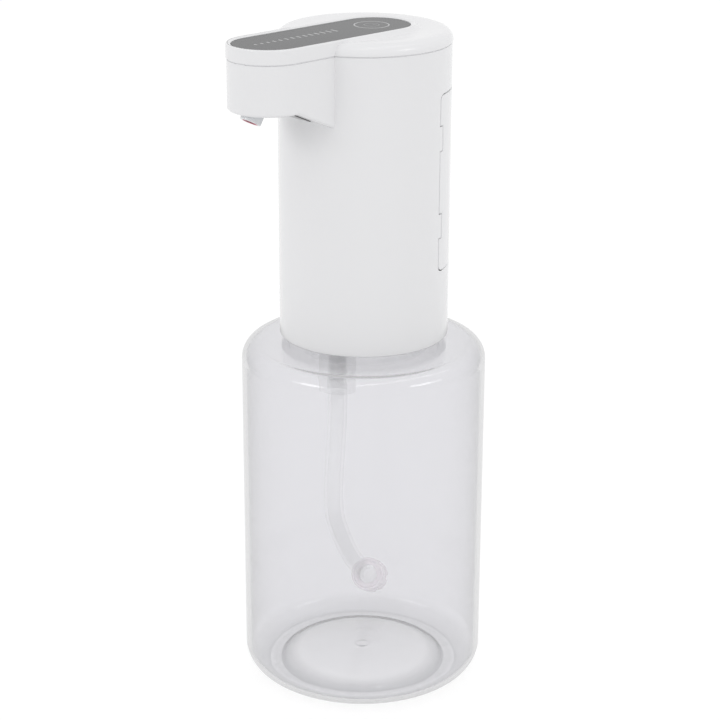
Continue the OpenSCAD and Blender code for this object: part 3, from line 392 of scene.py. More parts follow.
def letLampsThrough(tree, shader, share, trapped):
    # lamps reach what is behind clear plastic, so for shadow rays the surface is see-through; light that has
    # reflected inside the wall leaves it straight on, at the share "trapped", instead of running round in it
    path = addNode(tree, "LightPath").outputs
    bounced = mathNode(tree, "GREATER_THAN", path["Glossy Depth"], 0.5)
    clear = addNode(tree, "BsdfTransparent", {0: mixColour(tree, bounced, grey(share), grey(trapped))})
    straight = mathNode(tree, "MAXIMUM", path["Is Shadow Ray"], bounced)
    mix = addNode(tree, "MixShader", {0: straight, 1: shader.outputs[0], 2: clear.outputs[0]})
    tree.links.new(mix.outputs[0], tree.nodes["Material Output"].inputs["Surface"])


# the dip hose: points that its middle passes through, in mm, and its sizes
hose = {
    "route": [[0, -10.9, 107], [0, -10.9, 101], [0, -10.9, 95], [0.3, -11.3, 86], [1.1, -12.8, 77],
              [1.9, -14.2, 68], [2.2, -14.6, 61], [1.4, -13.3, 54.5], [-0.5, -10, 48.5],
              [-3.1, -5.7, 42.4], [-5.9, -1, 36.4], [-8.7, 3.7, 31], [-11.7, 8.9, 26],
              [-14.4, 13.5, 21.3], [-17.3, 18.3, 17.5], [-18.8, 20.8, 15.8]],
    "radius": 3 * mm,
    "bore": 2 * mm,
    "length": 0.115,
    "sides": 32,
    "stepsPerPoint": 8,
    "colour": (0.93, 0.93, 0.935),
    "haze": 0.16,
    "hazeInSocket": 0.04,
}


def smoothLine(points, steps):
    # a curve through every point, whose direction there is that from the point before to the point after
    p = np.vstack([2 * points[0] - points[1], points, 2 * points[-1] - points[-2]])
    t = np.arange(steps)[None, :, None] / steps
    a, b, c, d = p[:-3, None], p[1:-2, None], p[2:-1, None], p[3:, None]
    curve = 0.5 * (2 * b + (c - a) * t + (2 * a - 5 * b + 4 * c - d) * t ** 2
        + (3 * b - a - 3 * c + d) * t ** 3)
    return np.vstack([curve.reshape(-1, 3), points[-1:]])


def tubeAlong(line, radius, bore, sides, side):
    # a circle carried along a line: at each point its plane faces the line's direction, and its first axis is
    # the given side made square to it; the outer skin goes out and the bore comes back
    ahead = np.gradient(line, axis=0)
    ahead /= np.linalg.norm(ahead, axis=1, keepdims=True)
    first = np.array(side) - ahead * (ahead @ np.array(side))[:, None]
    first /= np.linalg.norm(first, axis=1, keepdims=True)
    second = np.cross(ahead, first)
    turn = fullTurn(sides)
    around = first[:, None] * np.cos(turn)[:, None] + second[:, None] * np.sin(turn)[:, None]
    points = np.vstack([line[:, None] + around * radius, line[::-1, None] + around[::-1] * bore])
    return surface(points, wrapCols=True, wrapRows=True)


def makeHose():
    material, tree, shader = newMaterial("milkyHose", Specular_IOR_Level=0.5)
    skin = mouldedSkin(tree, hose["colour"], 0.3, tone=0.03, grain=0.6 * mm, spread=0.1)
    wearSkin(tree, shader, skin, 0.01 * mm)
    # the haze thins out where the hose is inside its socket
    haze = shareBetween(tree, objectAxes(tree)[2], socketLow[2] - 0.5 * mm, socketLow[2] + 0.5 * mm,
        To_Min=hose["haze"], To_Max=hose["hazeInSocket"])
    tree.links.new(haze, shader.inputs["Alpha"])
    line = smoothLine(np.array(hose["route"]) * mm, hose["stepsPerPoint"])
    part = tubeAlong(line, hose["radius"], hose["bore"], hose["sides"], (-0.86, -0.51, 0))
    piece = makePiece("dipHose", [part], material, "head", ["dip_hose"], sharp=60)
    print("hose", round(float(np.linalg.norm(np.diff(line, axis=0), axis=1).sum()), 4), "m long")
    return piece, line, material


# the filter cup on the hose's lower end
filterCup = {
    "rim": (-17.3, 18.3, 17.5),            # middle of the rim that the hose enters, in mm
    "direction": (-0.442, 0.745, -0.5),
    "radius": 5.5 * mm,
    "length": 8 * mm,
    "wall": 0.9 * mm,
    "recess": 0.5 * mm,
    "grip": 3.5 * mm,
    "slots": 6,
    "slotWidth": 1.2 * mm,
    "slotDepth": 2.5 * mm,
    "colour": (0.99, 0.92, 0.965),
    "haze": 0.3,
}


def makeFilter():
    # a cup turned round the hose's end, with a sunk ring in its face; its far edge steps back in each slot
    cup = filterCup
    r, wall = cup["radius"], cup["wall"]
    hole = hose["radius"] + 0.15 * mm
    line = rounded([(hole, cup["grip"], 0), (hole, cup["recess"], 0.2 * mm),
        (r - wall, cup["recess"], 0.4 * mm), (r - wall, 0, 0.3 * mm), (r, 0, 0.45 * mm),
        (r, cup["length"], 0.2 * mm), (r - wall, cup["length"], 0.2 * mm), (r - wall, cup["grip"], 0.3 * mm),
        (hole, cup["grip"], 0)], 4)
    turn = fullTurn(180)
    fromSlot = np.abs((turn * cup["slots"] / (2 * np.pi) + 0.5) % 1 - 0.5) * 2 * np.pi / cup["slots"] * r
    cut = cup["slotDepth"] * smooth((cup["slotWidth"] / 2 - fromSlot) / (0.1 * mm) + 0.5)
    radius, along = line.T[:, :, None]
    points = turned(radius, np.minimum(along, cup["length"] - cut), turn)
    ahead = np.array(cup["direction"]) / np.linalg.norm(cup["direction"])
    side = np.cross((0, 0, 1), ahead)
    side /= np.linalg.norm(side)
    part = moved(surface(points, wrapCols=True, wrapRows=True), np.array(cup["rim"]) * mm,
        (side, np.cross(ahead, side), ahead))
    material = mouldedPlastic("milkyCup", cup["colour"], 0.3, tone=0.03, grain=0.5 * mm, depth=0.01 * mm,
        spread=0.1, Alpha=cup["haze"], Coat_Weight=0.5, Coat_Roughness=0.1)
    return makePiece("inletFilter", [part], material, "head", ["inlet_filter"])


hosePiece, hoseLine, milkyHose = makeHose()
filterPiece = makeFilter()
print("hose and filter ready")


# the clear bottle, measured from the floor up
bottle = {
    "radius": bottleHigh[0],
    "wall": 1.4 * mm,
    "shoulder": shellLow[2] - 2 * mm,      # height at the root of the neck
    "shoulderRise": 1 * mm,
    "shoulderRound": 5.5 * mm,
    "baseRound": 7.7 * mm,
    "dome": 3.6 * mm,
    "domeStep": 0.3,                       # share of the dome's height that is reached beside the ring
    "stepWidth": 3 * mm,
    "footRing": 26.2 * mm,                 # inner radius of the ring it stands on
    "gateRadius": 3 * mm,
    "gateRise": 0.2 * mm,
    "neck": sealRadius,
    "lip": bottleHigh[2],
    "pitch": 4.2 * mm,
    "turns": 1.2,
    "threadStart": 3.96 * mm,
    "threadDepth": 1.1 * mm,
    "threadHalf": 0.8 * mm,                # half the thread's width, and the width of its slope
    "threadSlope": 0.45 * mm,
    "segments": 256,
    "colour": (0.862, 0.860, 0.878),
    # painted shade where the wall is seen edge on
    "edgeColour": (0.15, 0.15, 0.17),
    "baseColour": (0.94, 0.94, 0.945),     # painted light on the base's middle, and painted shade on its ring and on the corner round it
    "ringColour": (0.66, 0.66, 0.675),
    "cornerColour": (0.79, 0.79, 0.805),
    "baseTop": 6 * mm,                     # height up to which the base's painted light and shade reach up the wall
    "outlineShadePower": 4.5,                      # how close to the outline the painted shade darkens the wall's colour, and its reflection
    "outlineReflectionShadePower": 1.5,
    "lampShare": 0.98,                     # light that a shadow ray keeps, and light that has turned inside
    "trappedShare": 0.8,
}


def clearMaterial():
    # clear plastic: in the base, painted light lightens the middle and painted shade darkens the ring and the
    # corner round it; where the wall is seen edge on, painted shade darkens its colour and its reflection
    b = bottle
    base, ring, corner, edge = [(*b[key + "Colour"], 1) for key in ("base", "ring", "corner", "edge")]
    material, tree, shader = newMaterial("clearBottle", IOR=1.45, Transmission_Weight=1.0)
    skin = mouldedSkin(tree, b["colour"], 0.015, tone=0.006, grain=6 * mm, spread=0.02)
    facing = addNode(tree, "LayerWeight", Blend=0.5).outputs["Facing"]
    x, y, z = objectAxes(tree)
    radius, foot = axisDistance(tree, x, y), b["footRing"]
    # painted shade on the ring and the corner round it, painted light on the base's middle
    ringShade = mixColour(tree, shareBetween(tree, radius, foot + 2 * mm, foot + 5 * mm), ring, corner)
    baseLightAndShade = mixColour(tree, shareBetween(tree, radius, foot - 6 * mm, foot - 1 * mm), base, ringShade)
    inBase = shareBetween(tree, z, b["baseTop"], b["baseTop"] / 3)
    wallColourWithBasePaint = mixColour(tree, inBase, skin.outputs["Colour"], baseLightAndShade)
    # painted shade: the colour darkens towards the outline
    dark = mathNode(tree, "POWER", facing, b["outlineShadePower"])
    wearSkin(tree, shader, skin, colour=mixColour(tree, dark, wallColourWithBasePaint, edge))
    # painted shade: the reflection darkens towards the outline
    outlineReflectionShade = mixColour(tree, mathNode(tree, "POWER", facing, b["outlineReflectionShadePower"]), grey(1), edge)
    tree.links.new(outlineReflectionShade, shader.inputs["Specular Tint"])
    letLampsThrough(tree, shader, b["lampShare"], b["trappedShare"])
    return material


def makeBottle():
    # outline of (radius, height), outside from the dome up to the lip, then back down inside; the base rises
    # in a short step beside its ring and then as a parabola, and the neck swells where the helix passes
    b = bottle
    r, w, top = b["radius"], b["wall"], b["shoulder"]

    def floor(radius, lift):
        step = smooth((b["footRing"] - radius) / b["stepWidth"])
        bow = np.clip(1 - (radius / b["footRing"]) ** 2, 0, 1)
        gate = b["gateRise"] * (1 - smooth((radius / b["gateRadius"] - 0.6) / 0.5))
        rise = b["domeStep"] * step + (1 - b["domeStep"]) * bow
        return lift + b["dome"] * rise + gate * (1 if lift else 0.4)

    def arc(radius, height, size, start, end):
        turn = np.radians(np.linspace(start, end, 15))
        return np.stack([radius + size * np.cos(turn), height + size * np.sin(turn)], axis=-1)

    footEdge = r - b["baseRound"]
    # rows across the base, close together at the gate in its middle and at the ring
    across = np.concatenate([np.linspace(0, b["gateRadius"] * 1.2, 14), np.linspace(4 * mm, 23 * mm, 14),
        np.linspace(24 * mm, 26.4 * mm, 17), np.linspace(27 * mm, footEdge - 0.1 * mm, 4)])
    shoulderMiddle = top - b["shoulderRise"] - b["shoulderRound"]
    neck = b["neck"]
    neckLine = np.stack([np.full(56, neck), np.linspace(top + 1.2 * mm, b["lip"] - 0.5 * mm, 56)], axis=-1)
    outside = np.vstack([np.stack([across, floor(across, 0)], axis=-1),
        arc(footEdge, b["baseRound"], b["baseRound"], -90, 0),
        arc(r - b["shoulderRound"], shoulderMiddle, b["shoulderRound"], 0, 90),
        rounded([(neck + 12 * mm, top - 0.85 * mm, 0), (neck, top, 0.9 * mm), (neck, top + 1.1 * mm, 0)])[1:],
        neckLine])
    bore = neck - w
    lip = rounded([(neck, b["lip"] - 0.5 * mm, 0), (neck, b["lip"], 0.4 * mm), (bore, b["lip"], 0.4 * mm),
        (bore, top + 1 * mm, 0), (bore, top - w, 1.5 * mm), (bore + 12 * mm, top - w - 0.85 * mm, 0)])[1:]
    inside = np.vstack([lip, arc(r - b["shoulderRound"], shoulderMiddle, b["shoulderRound"] - w, 90, 0),
        arc(footEdge, b["baseRound"], b["baseRound"] - w, 0, -90),
        np.stack([across[::-1], floor(across[::-1], w)], axis=-1)])
    radius, height = np.vstack([outside, inside]).T[:, :, None]
    turn = fullTurn(b["segments"])
    lap = np.array([0, 1])[:, None, None]          # the helix passes a point once in each turn
    rise = b["threadStart"] + top + b["pitch"] * (turn / (2 * np.pi) + lap)
    fade = smooth((turn / (2 * np.pi) + lap) / 0.06) * smooth((b["turns"] - turn / (2 * np.pi) - lap) / 0.06)
    near = (smooth((b["threadHalf"] - np.abs(height - rise)) / b["threadSlope"]) * fade).max(axis=0)
    onNeck = np.isclose(radius, neck) & (height > top)
    radius = radius + b["threadDepth"] * near * onNeck
    part = surface(turned(radius, height, turn), wrapCols=True)
    makePiece("clearBottle", [part], clearMaterial(), "bottle", ["bottle"], sharp=75)


makeBottle()
print("bottle ready")


whiteShell = mouldedPlastic("whiteShell", (0.79, 0.79, 0.802), roughness=0.18, tone=0.006, grain=0.35 * mm,
    depth=0.003 * mm)

# the white shell: its door and its tower, its arm with the sensor's window, and what stands inside it
door = {
    "edge": 7.3 * mm,                      # distance of the side edges behind the tower's axis
    "gap": 0.25 * mm,
    "thickness": 1.4 * mm,
    "corner": 1.8 * mm,
    "notchHeight": 7.8 * mm,
    "notchDepth": 1.55 * mm,
    "notchRound": 0.5 * mm,
    "notchSpacing": 26.5 * mm,
    "notchMiddle": (doorLow[2] + doorHigh[2]) / 2 + 0.5 * mm,
    "ledge": 1.4 * mm,
    "edgeRound": 0.3 * mm,
    "nailRadius": 1.6 * mm,
    "nailHalf": 6 * mm,
    "nailHeight": doorLow[2] + 3 * mm,
    "nailOut": 0.7 * mm,
}
tower = {
    "wall": 2.2 * mm,
    "rimRound": 0.4 * mm,
    "seamRound": 0.15 * mm,
    "slotWidth": 4 * mm,
    "slotLength": 7 * mm,
    "slotMiddle": shellLow[2] + 50.1 * mm,
    "slotSpacing": 65 * mm,
    "frontColumns": 44,
    "rearColumns": 20,
}
arm = {
    "under": shellHigh[2] + 0.15 * mm - 14.7 * mm,
    "kneeBack": 0.9 * mm,
    "slope": math.tan(math.radians(24.4)),
    "bottomRound": 0.8 * mm,
    "topRound": 0.2 * mm,
}
window = {
    "halfWidth": 7 * mm,
    "length": 8.8 * mm,
    "inset": 1.5 * mm,                     # from the knee to the window's front end, along the slope
    "thickness": 3 * mm,
    "proud": 0.25 * mm,
    "corner": 1.2 * mm,
    "gap": 0.05 * mm,
}
boss = {
    "ring": 21.5 * mm,
    "turns": (30, 150, 270),
    "height": 6.8 * mm,
    "bore": 0.8 * mm,
    "radius": 2.2 * mm,
    "noseY": noseY - 8.75 * mm,
}
rail = {"gap": 0.1 * mm, "width": 0.8 * mm, "halfDepth": 3 * mm, "short": 4 * mm}
kneeY = noseY + arm["kneeBack"]
slopeAngle = math.atan(arm["slope"])
edgeSteps = np.array([0, 0.05, 0.12, 0.21, 0.3, 0.34, 0.7]) * mm


def doorEdge(z, grow):
    # how far behind the axis the door's side edge lies at each height: straight, an arc at both corners, and
    # stepped back with small rounds in the two notches; grow moves every edge outwards
    low = door["edge"] - grow
    fromEnd = np.minimum(z - doorLow[2], doorHigh[2] - z) + grow
    inCorner = np.clip(door["corner"] - fromEnd, 0, door["corner"])
    corner = low + door["corner"] - np.sqrt(door["corner"] ** 2 - inCorner ** 2)
    fromNotch = np.abs(np.abs(z - door["notchMiddle"]) - door["notchSpacing"] / 2)
    half, soft = door["notchHeight"] / 2 - grow, door["notchRound"]
    inRound = np.clip(fromNotch - half + soft, 0, soft)
    notch = door["edge"] + door["notchDepth"] - grow - soft + np.sqrt(soft ** 2 - inRound ** 2)
    return np.where(fromNotch < half, np.maximum(notch, corner), corner)


def doorRows(grow):
    # heights that the door's outline needs: its ends and corners, and both edges of each notch
    ends = np.array([doorLow[2] - grow, doorHigh[2] + grow])
    corner = door["corner"] * (1 - np.cos(np.linspace(0, np.pi / 2, 6)))
    notches = door["notchMiddle"] + np.array([-1, 1]) * door["notchSpacing"] / 2
    half = door["notchHeight"] / 2 - grow
    near = np.array([-0.34, -0.21, -0.12, -0.05, -0.01, 0.01, 0.05, 0.12, 0.25, 0.5, 0.55]) * mm
    return np.concatenate([ends[0] + corner, ends[1] - corner, ends[0] - edgeSteps[:6],
        ends[1] + edgeSteps[:6], *[n - half + near for n in notches], *[n + half - near for n in notches]])


def fromOutline(along, z, grow):
    # distance from each point of the unrolled wall to the outline of the door's opening
    ends = np.array([doorLow[2] - grow, doorHigh[2] + grow])
    zs = np.linspace(ends[0], ends[1], 500)
    side = towerRadius * np.arcsin(doorEdge(zs, grow) / towerRadius)
    reach = np.linspace(side[0], towerRadius * np.pi / 2, 60)
    lineX = np.concatenate([side, reach, reach]).astype(np.float32)
    lineZ = np.concatenate([zs, np.full(60, ends[0]), np.full(60, ends[1])]).astype(np.float32)
    flatX, flatZ = along.astype(np.float32).reshape(-1, 1), z.astype(np.float32).reshape(-1, 1)
    halves = slice(300), slice(300, None)
    near = [np.hypot(flatX - lineX[half], flatZ - lineZ[half]).min(axis=1) for half in halves]
    return np.minimum(*near).reshape(along.shape)


def onTower(turn, radius, z):
    # turn is the angle from the front of the tower, positive towards +X
    return np.stack([radius * np.sin(turn), -radius * np.cos(turn), z + 0 * turn], axis=-1)


def bothSides(half):
    # columns from the front round one side to the rear, then back round the other side
    return np.hstack([half, -half[:, -2:0:-1]])


def towerWall():
    # a cylinder's wall as a grid of angle and height; its columns follow the door's opening and the slots'
    # ends, cells inside an opening are left out, and the surface drops along every open edge
    t, gap = tower, door["gap"]
    low, top = shellLow[2], shellHigh[2]
    inner = towerRadius - t["wall"]
    slotHalf = (t["slotLength"] - t["slotWidth"]) / 2
    slotRadius = t["slotWidth"] / 2
    slotZ = t["slotMiddle"] + np.array([-1, 1]) * t["slotSpacing"] / 2
    armLow = arm["under"] + (kneeY + inner) * arm["slope"] + t["wall"] * 1.2
    armColumns = 7
    slotTurn = np.sin(np.linspace(0, 0.91, 7) * np.pi / 2)
    slotEnd = np.concatenate([slotHalf + slotRadius * slotTurn,
        slotHalf + slotRadius * slotTurn[-1] + edgeSteps])
    # rows close together at both ends of the wall, round the door's opening, at the arm and round the slots
    rows = [low + edgeSteps * 1.35, top - edgeSteps * 0.5, doorRows(gap), [armLow],
        *[z + s * slotEnd for z in slotZ for s in (-1, 1)]]
    z = np.unique(np.round(np.concatenate(rows), 8))[:, None]
    inDoor = np.clip(z, doorLow[2] - gap, doorHigh[2] + gap)
    edge = np.arcsin(doorEdge(inDoor, gap) / towerRadius) + np.pi / 2
    toSlot = np.abs(z - slotZ).min(axis=1)[:, None]
    narrow = np.clip((toSlot - slotHalf) / slotRadius, 0, slotTurn[-1])
    slot = slotRadius * np.sqrt(1 - narrow ** 2) / towerRadius
    armTurn = np.arcsin((armRadius - t["wall"]) / towerRadius)
    steps = edgeSteps / towerRadius
    f, k = np.linspace(0, 1, t["frontColumns"]), np.linspace(0, 1, t["rearColumns"])
    # columns of one half, from the front: under the arm, the front wall, the door's edge, the rear, the slots
    half = np.hstack([np.linspace(0, armTurn, armColumns + 1)[None, :-1] + 0 * z,
        armTurn + (edge - steps[-1] - armTurn) * f[None, :-1],
        edge - steps[::-1][None],
        edge + (np.pi - slot - steps[-1] - edge) * k[None, 1:-1],
        np.pi - slot - steps[::-1][None],
        np.pi - slot + slot * np.linspace(0, 1, 5)[None, 1:]])
    doorColumn = armColumns + t["frontColumns"] - 1 + len(steps) - 1
    slotColumn = half.shape[1] - 5
    turn = bothSides(half)
    height = z + 0 * turn
    past = np.abs((turn + np.pi) % (2 * np.pi) - np.pi)
    along = towerRadius * (past - np.pi / 2)
    outlineGap = fromOutline(along, height, gap)
    slotGap = np.hypot(towerRadius * (np.pi - past), np.maximum(toSlot - slotHalf, 0)) - slotRadius
    radius = towerRadius - roundOff(outlineGap, door["edgeRound"]) - roundOff(slotGap, door["edgeRound"]) \
        - roundOff(height - low, t["rimRound"]) - roundOff(top - height, t["seamRound"])
    # cells are left out in the door's opening, in the two slots and inside the arm
    middle = (z[1:] + z[:-1]) / 2
    cell = np.concatenate([np.arange(half.shape[1] - 1), np.arange(half.shape[1] - 1)[::-1]])[None]
    holes = (cell >= doorColumn) & (middle > doorLow[2] - gap) & (middle < doorHigh[2] + gap)
    slotOpen = np.abs(middle - slotZ).min(axis=1)[:, None] < slotHalf + slotRadius * slotTurn[-1]
    holes |= (cell >= slotColumn) & slotOpen
    holes |= (cell < armColumns) & (middle > armLow)
    inside = onTower(turn, inner + 0 * turn, height)
    return walled(onTower(turn, radius, height), inside, ~holes, wrapCols=True)


def doorLedge():
    # the rim inside the wall that the door lies on: a curved plate with a square-cornered opening
    inner, face = towerRadius - tower["wall"] - 0.05 * mm, towerRadius - door["thickness"] - 0.1 * mm
    z = np.array([doorLow[2] - 0.8 * mm, doorLow[2] + door["ledge"], doorHigh[2] - door["ledge"],
        doorHigh[2] + 0.8 * mm])[:, None]
    outer = np.arcsin((door["edge"] - 1 * mm) / towerRadius) + np.pi / 2
    hole = np.arcsin((door["edge"] + door["notchDepth"] + door["ledge"]) / towerRadius) + np.pi / 2
    across = np.linspace(hole, 2 * np.pi - hole, 61)
    turn = np.concatenate([[outer], across, [2 * np.pi - outer]])[None] + 0 * z
    keep = np.ones((3, 62), bool)
    keep[1, 1:-1] = False
    return walled(onTower(turn, face + 0 * turn, z), onTower(turn, inner + 0 * turn, z), keep)


def armWall():
    # a wall carried round the U of the arm: down its side, round the bottom edge, and in along the underside
    # to the middle; behind the knee the underside falls to the tower, and the window's cells are left out
    a, w = arm, tower["wall"]
    e, top = a["topRound"], shellHigh[2]
    bend = np.linspace(0, np.pi / 2, 7)
    # rows: seven round the top edge and one below it, the side, seven round the bottom edge, the underside
    inset = np.concatenate([e * (1 - np.sin(bend)), [0, 0], a["bottomRound"] * (1 - np.cos(bend)),
        [a["bottomRound"] + 0.2 * mm, 2.5 * mm, armRadius - window["halfWidth"] - window["gap"],
         armRadius - 4.5 * mm, armRadius - 2 * mm, armRadius]])[:, None]
    topRow, sideRow, holeRow = 7, 8, 18
    holeFrom, holeTo = 4, 10                       # columns of the window's opening, from either end
    rearEnd = -np.sqrt((towerRadius - w / 2) ** 2 - (armRadius - inset) ** 2)
    windowRear = kneeY + (window["inset"] + window["length"] + window["gap"]) * math.cos(slopeAngle)
    windowFront = kneeY + (window["inset"] - window["gap"]) * math.cos(slopeAngle)
    straight = np.hstack([rearEnd + (windowRear - rearEnd) * np.linspace(0, 1, 5)[None, :-1],
        np.linspace(windowRear, windowFront, 7)[None] + 0 * inset,
        np.array([kneeY + 0.3 * mm, kneeY, kneeY - 0.3 * mm, noseY])[None] + 0 * inset])
    turn = np.linspace(0, np.pi / 2, 17)[None, 1:]
    x = np.hstack([armRadius - inset + 0 * straight, (armRadius - inset) * np.cos(turn)])
    y = np.hstack([straight, noseY - (armRadius - inset) * np.sin(turn)])
    x, y = np.hstack([x, -x[:, -2::-1]]), np.hstack([y, y[:, -2::-1]])
    bottom = a["under"] - np.maximum(0, y - kneeY) * a["slope"]
    lift = np.concatenate([bend * 0, [0, 0], a["bottomRound"] * (1 - np.sin(bend)), np.zeros(6)])[:, None]
    z = bottom + lift
    z[:topRow] = top - e * (1 - np.cos(bend))[:, None]
    z[topRow] = top - 1.5 * e
    z[sideRow] = bottom[sideRow] + a["bottomRound"] * 1.2
    cells = y.shape[1] - 1
    innerX = np.sign(x) * np.minimum(np.abs(x), armRadius - w)
    nose = y < noseY
    scale = np.minimum(1, (armRadius - w) / np.maximum(armRadius - inset, 1e-9))
    innerX = np.where(nose, x * scale, innerX)
    innerY = np.where(nose, noseY + (y - noseY) * scale, y)
    innerZ = np.maximum(z, a["under"] - np.maximum(0, innerY - kneeY) * a["slope"] + w)
    keep = np.ones((len(inset) - 1, cells), bool)
    keep[holeRow:, holeFrom:holeTo] = keep[holeRow:, cells - holeTo:cells - holeFrom] = False
    return walled(np.stack([x, y, z], -1), np.stack([innerX, innerY, innerZ], -1), keep)


def shellDetails():
    # screw bosses round the collar and in the nose, and the two rails that hold the main board
    inner, outer = boss["bore"], boss["radius"]
    places = [(boss["ring"] * math.cos(turn), boss["ring"] * math.sin(turn), deck, deck + boss["height"])
        for turn in np.radians(boss["turns"])]
    places.append((0, boss["noseY"], arm["under"] + 1 * mm, shellHigh[2] - 2.2 * mm))
    parts = []
    for x, y, low, top in places:
        tube = lathe([(inner, low), (outer, low), (outer, top), (inner, top)], 24, wrapRows=True)
        parts.append(moved(tube, (x, y, 0)))
    low, high = corners("main_board")
    for x in (low[0] - rail["gap"] - rail["width"], high[0] + rail["gap"]):
        parts.append(blockPart((x, low[1] - rail["halfDepth"], low[2] + rail["short"]),
            (x + rail["width"], low[1] + rail["halfDepth"], high[2] - rail["short"])))
    return parts


makePiece("bodyShell", [towerWall(), doorLedge(), armWall(), *shellDetails()], whiteShell, "head",
    ["body_shell"])
print("body shell ready")


def makeDoor():
    # the same wall cut to the door's outline: rows follow its height, columns run from edge to edge, the face
    # drops along the outline and in the groove that a nail fits
    low, top, e = doorLow[2], doorHigh[2], door["edgeRound"]
    nail = door["nailHeight"] + (door["nailRadius"] + 0.1 * mm) * np.linspace(-1, 1, 18)
    z = np.concatenate([doorRows(0), nail, low + edgeSteps, top - edgeSteps])
    z = np.unique(np.round(z[(z >= low - 1e-9) & (z <= top + 1e-9)], 8))[:, None]
    edge = np.arcsin(doorEdge(z, 0) / towerRadius) + np.pi / 2
    steps = edgeSteps[None] / towerRadius
    share = np.linspace(0, 1, 46)[None, 1:]
    half = np.hstack([edge + steps, edge + steps[:, -1:] + (np.pi - edge - steps[:, -1:]) * share])
    turn = np.hstack([half, 2 * np.pi - half[:, -2::-1]])
    height = z + 0 * turn
    past = np.minimum(turn, 2 * np.pi - turn)
    radius = towerRadius - roundOff(fromOutline(towerRadius * (past - np.pi / 2), height, 0), e)
    x, rearwards = radius * np.sin(turn), -np.cos(turn)
    fromNail = np.clip(np.abs(height - door["nailHeight"]) / door["nailRadius"], 0, 1)
    scoop = towerRadius + door["nailOut"] - door["nailRadius"] * np.sqrt(1 - fromNail ** 2)
    depth = np.maximum(0, radius - scoop / np.maximum(rearwards, 0.1))
    radius = radius - depth * smooth((door["nailHalf"] - np.abs(x)) / (0.6 * mm))
    inner = towerRadius - door["thickness"] + 0 * turn
    part = walled(onTower(turn, radius, height), onTower(turn, inner, height))
    makePiece("batteryDoor", [part], whiteShell, "battery_door", ["battery_door"])


makeDoor()
print("door ready")


# the top cover: a round part over the tower, and a raised rim round the panel
cover = {
    "proud": 0.2 * mm,
    "bottom": shellHigh[2] + 0.3 * mm,
    "groove": 0.45 * mm,                   # depth of the seam under the cover's edge
    "roundTop": shellHigh[2] + 3.75 * mm,  # height at the top of the round part's edge
    "edgeRound": 3 * mm,
    "dish": 0.4 * mm,
    "dishStart": 15.5 * mm,
    "rimTop": coverHigh[2],
    "rimRound": 0.5 * mm,
    "lip": 0.7 * mm,                       # width of the slope from the panel up to the rim
    "panelGap": 0.1 * mm,
    "flare": 3 * mm,                       # width of the hollow slope beside the raised rim
    "spigotBottom": coverLow[2],
    "spigotInset": 2.3 * mm,
    "spigotWall": 0.9 * mm,
    "under": panelLow[2] - 2 * mm,
}


def stadiumLoop(arcSteps=24, sideSteps=44):
    # middle line and outward direction all round a long shape with two round ends
    ahead, back = [np.linspace(*ends, sideSteps, endpoint=False) for ends in ((rearY, noseY), (noseY, rearY))]
    bend = np.linspace(0, -np.pi, arcSteps, endpoint=False)
    middle = np.concatenate([ahead, np.full(arcSteps, noseY), back, np.full(arcSteps, rearY)])
    angle = np.concatenate([0 * ahead, bend, 0 * back - np.pi, bend + np.pi])
    return middle, np.cos(angle), np.sin(angle)


def stadiumSweep(radius, height, loop):
    # each row lies at its radius from the middle line and at its height; both may change along the loop
    middle, nx, ny = loop
    points = np.stack([radius * nx, middle + radius * ny, height + 0 * nx], axis=-1)
    return surface(points, wrapCols=True)


def coverDisc():
    # the round part, turned: a shallow dish, a large round at the edge, and the spigot that plugs the tower
    c = cover
    edge, top = towerRadius + c["proud"], c["roundTop"]
    across = np.linspace(0, edge - c["edgeRound"] - 0.3 * mm, 40)
    face = np.stack([across, top - c["dish"] * (1 - smooth((across - c["dishStart"])
        / (edge - c["edgeRound"] - c["dishStart"])))], axis=-1)
    plug = towerRadius - c["spigotInset"]
    rest = rounded([(edge - c["edgeRound"] - 0.3 * mm, top, 0), (edge, top, c["edgeRound"]),
        (edge, c["bottom"], 0.15 * mm), (edge - c["groove"], c["bottom"], 0),
        (edge - c["groove"], shellHigh[2], 0), (plug, shellHigh[2], 0),
        (plug, c["spigotBottom"], 0.1 * mm), (plug - c["spigotWall"], c["spigotBottom"], 0.1 * mm),
        (plug - c["spigotWall"], c["under"], 0.2 * mm), (0, c["under"], 0)], 10)
    return lathe(np.vstack([face, rest[1:]]), 192)


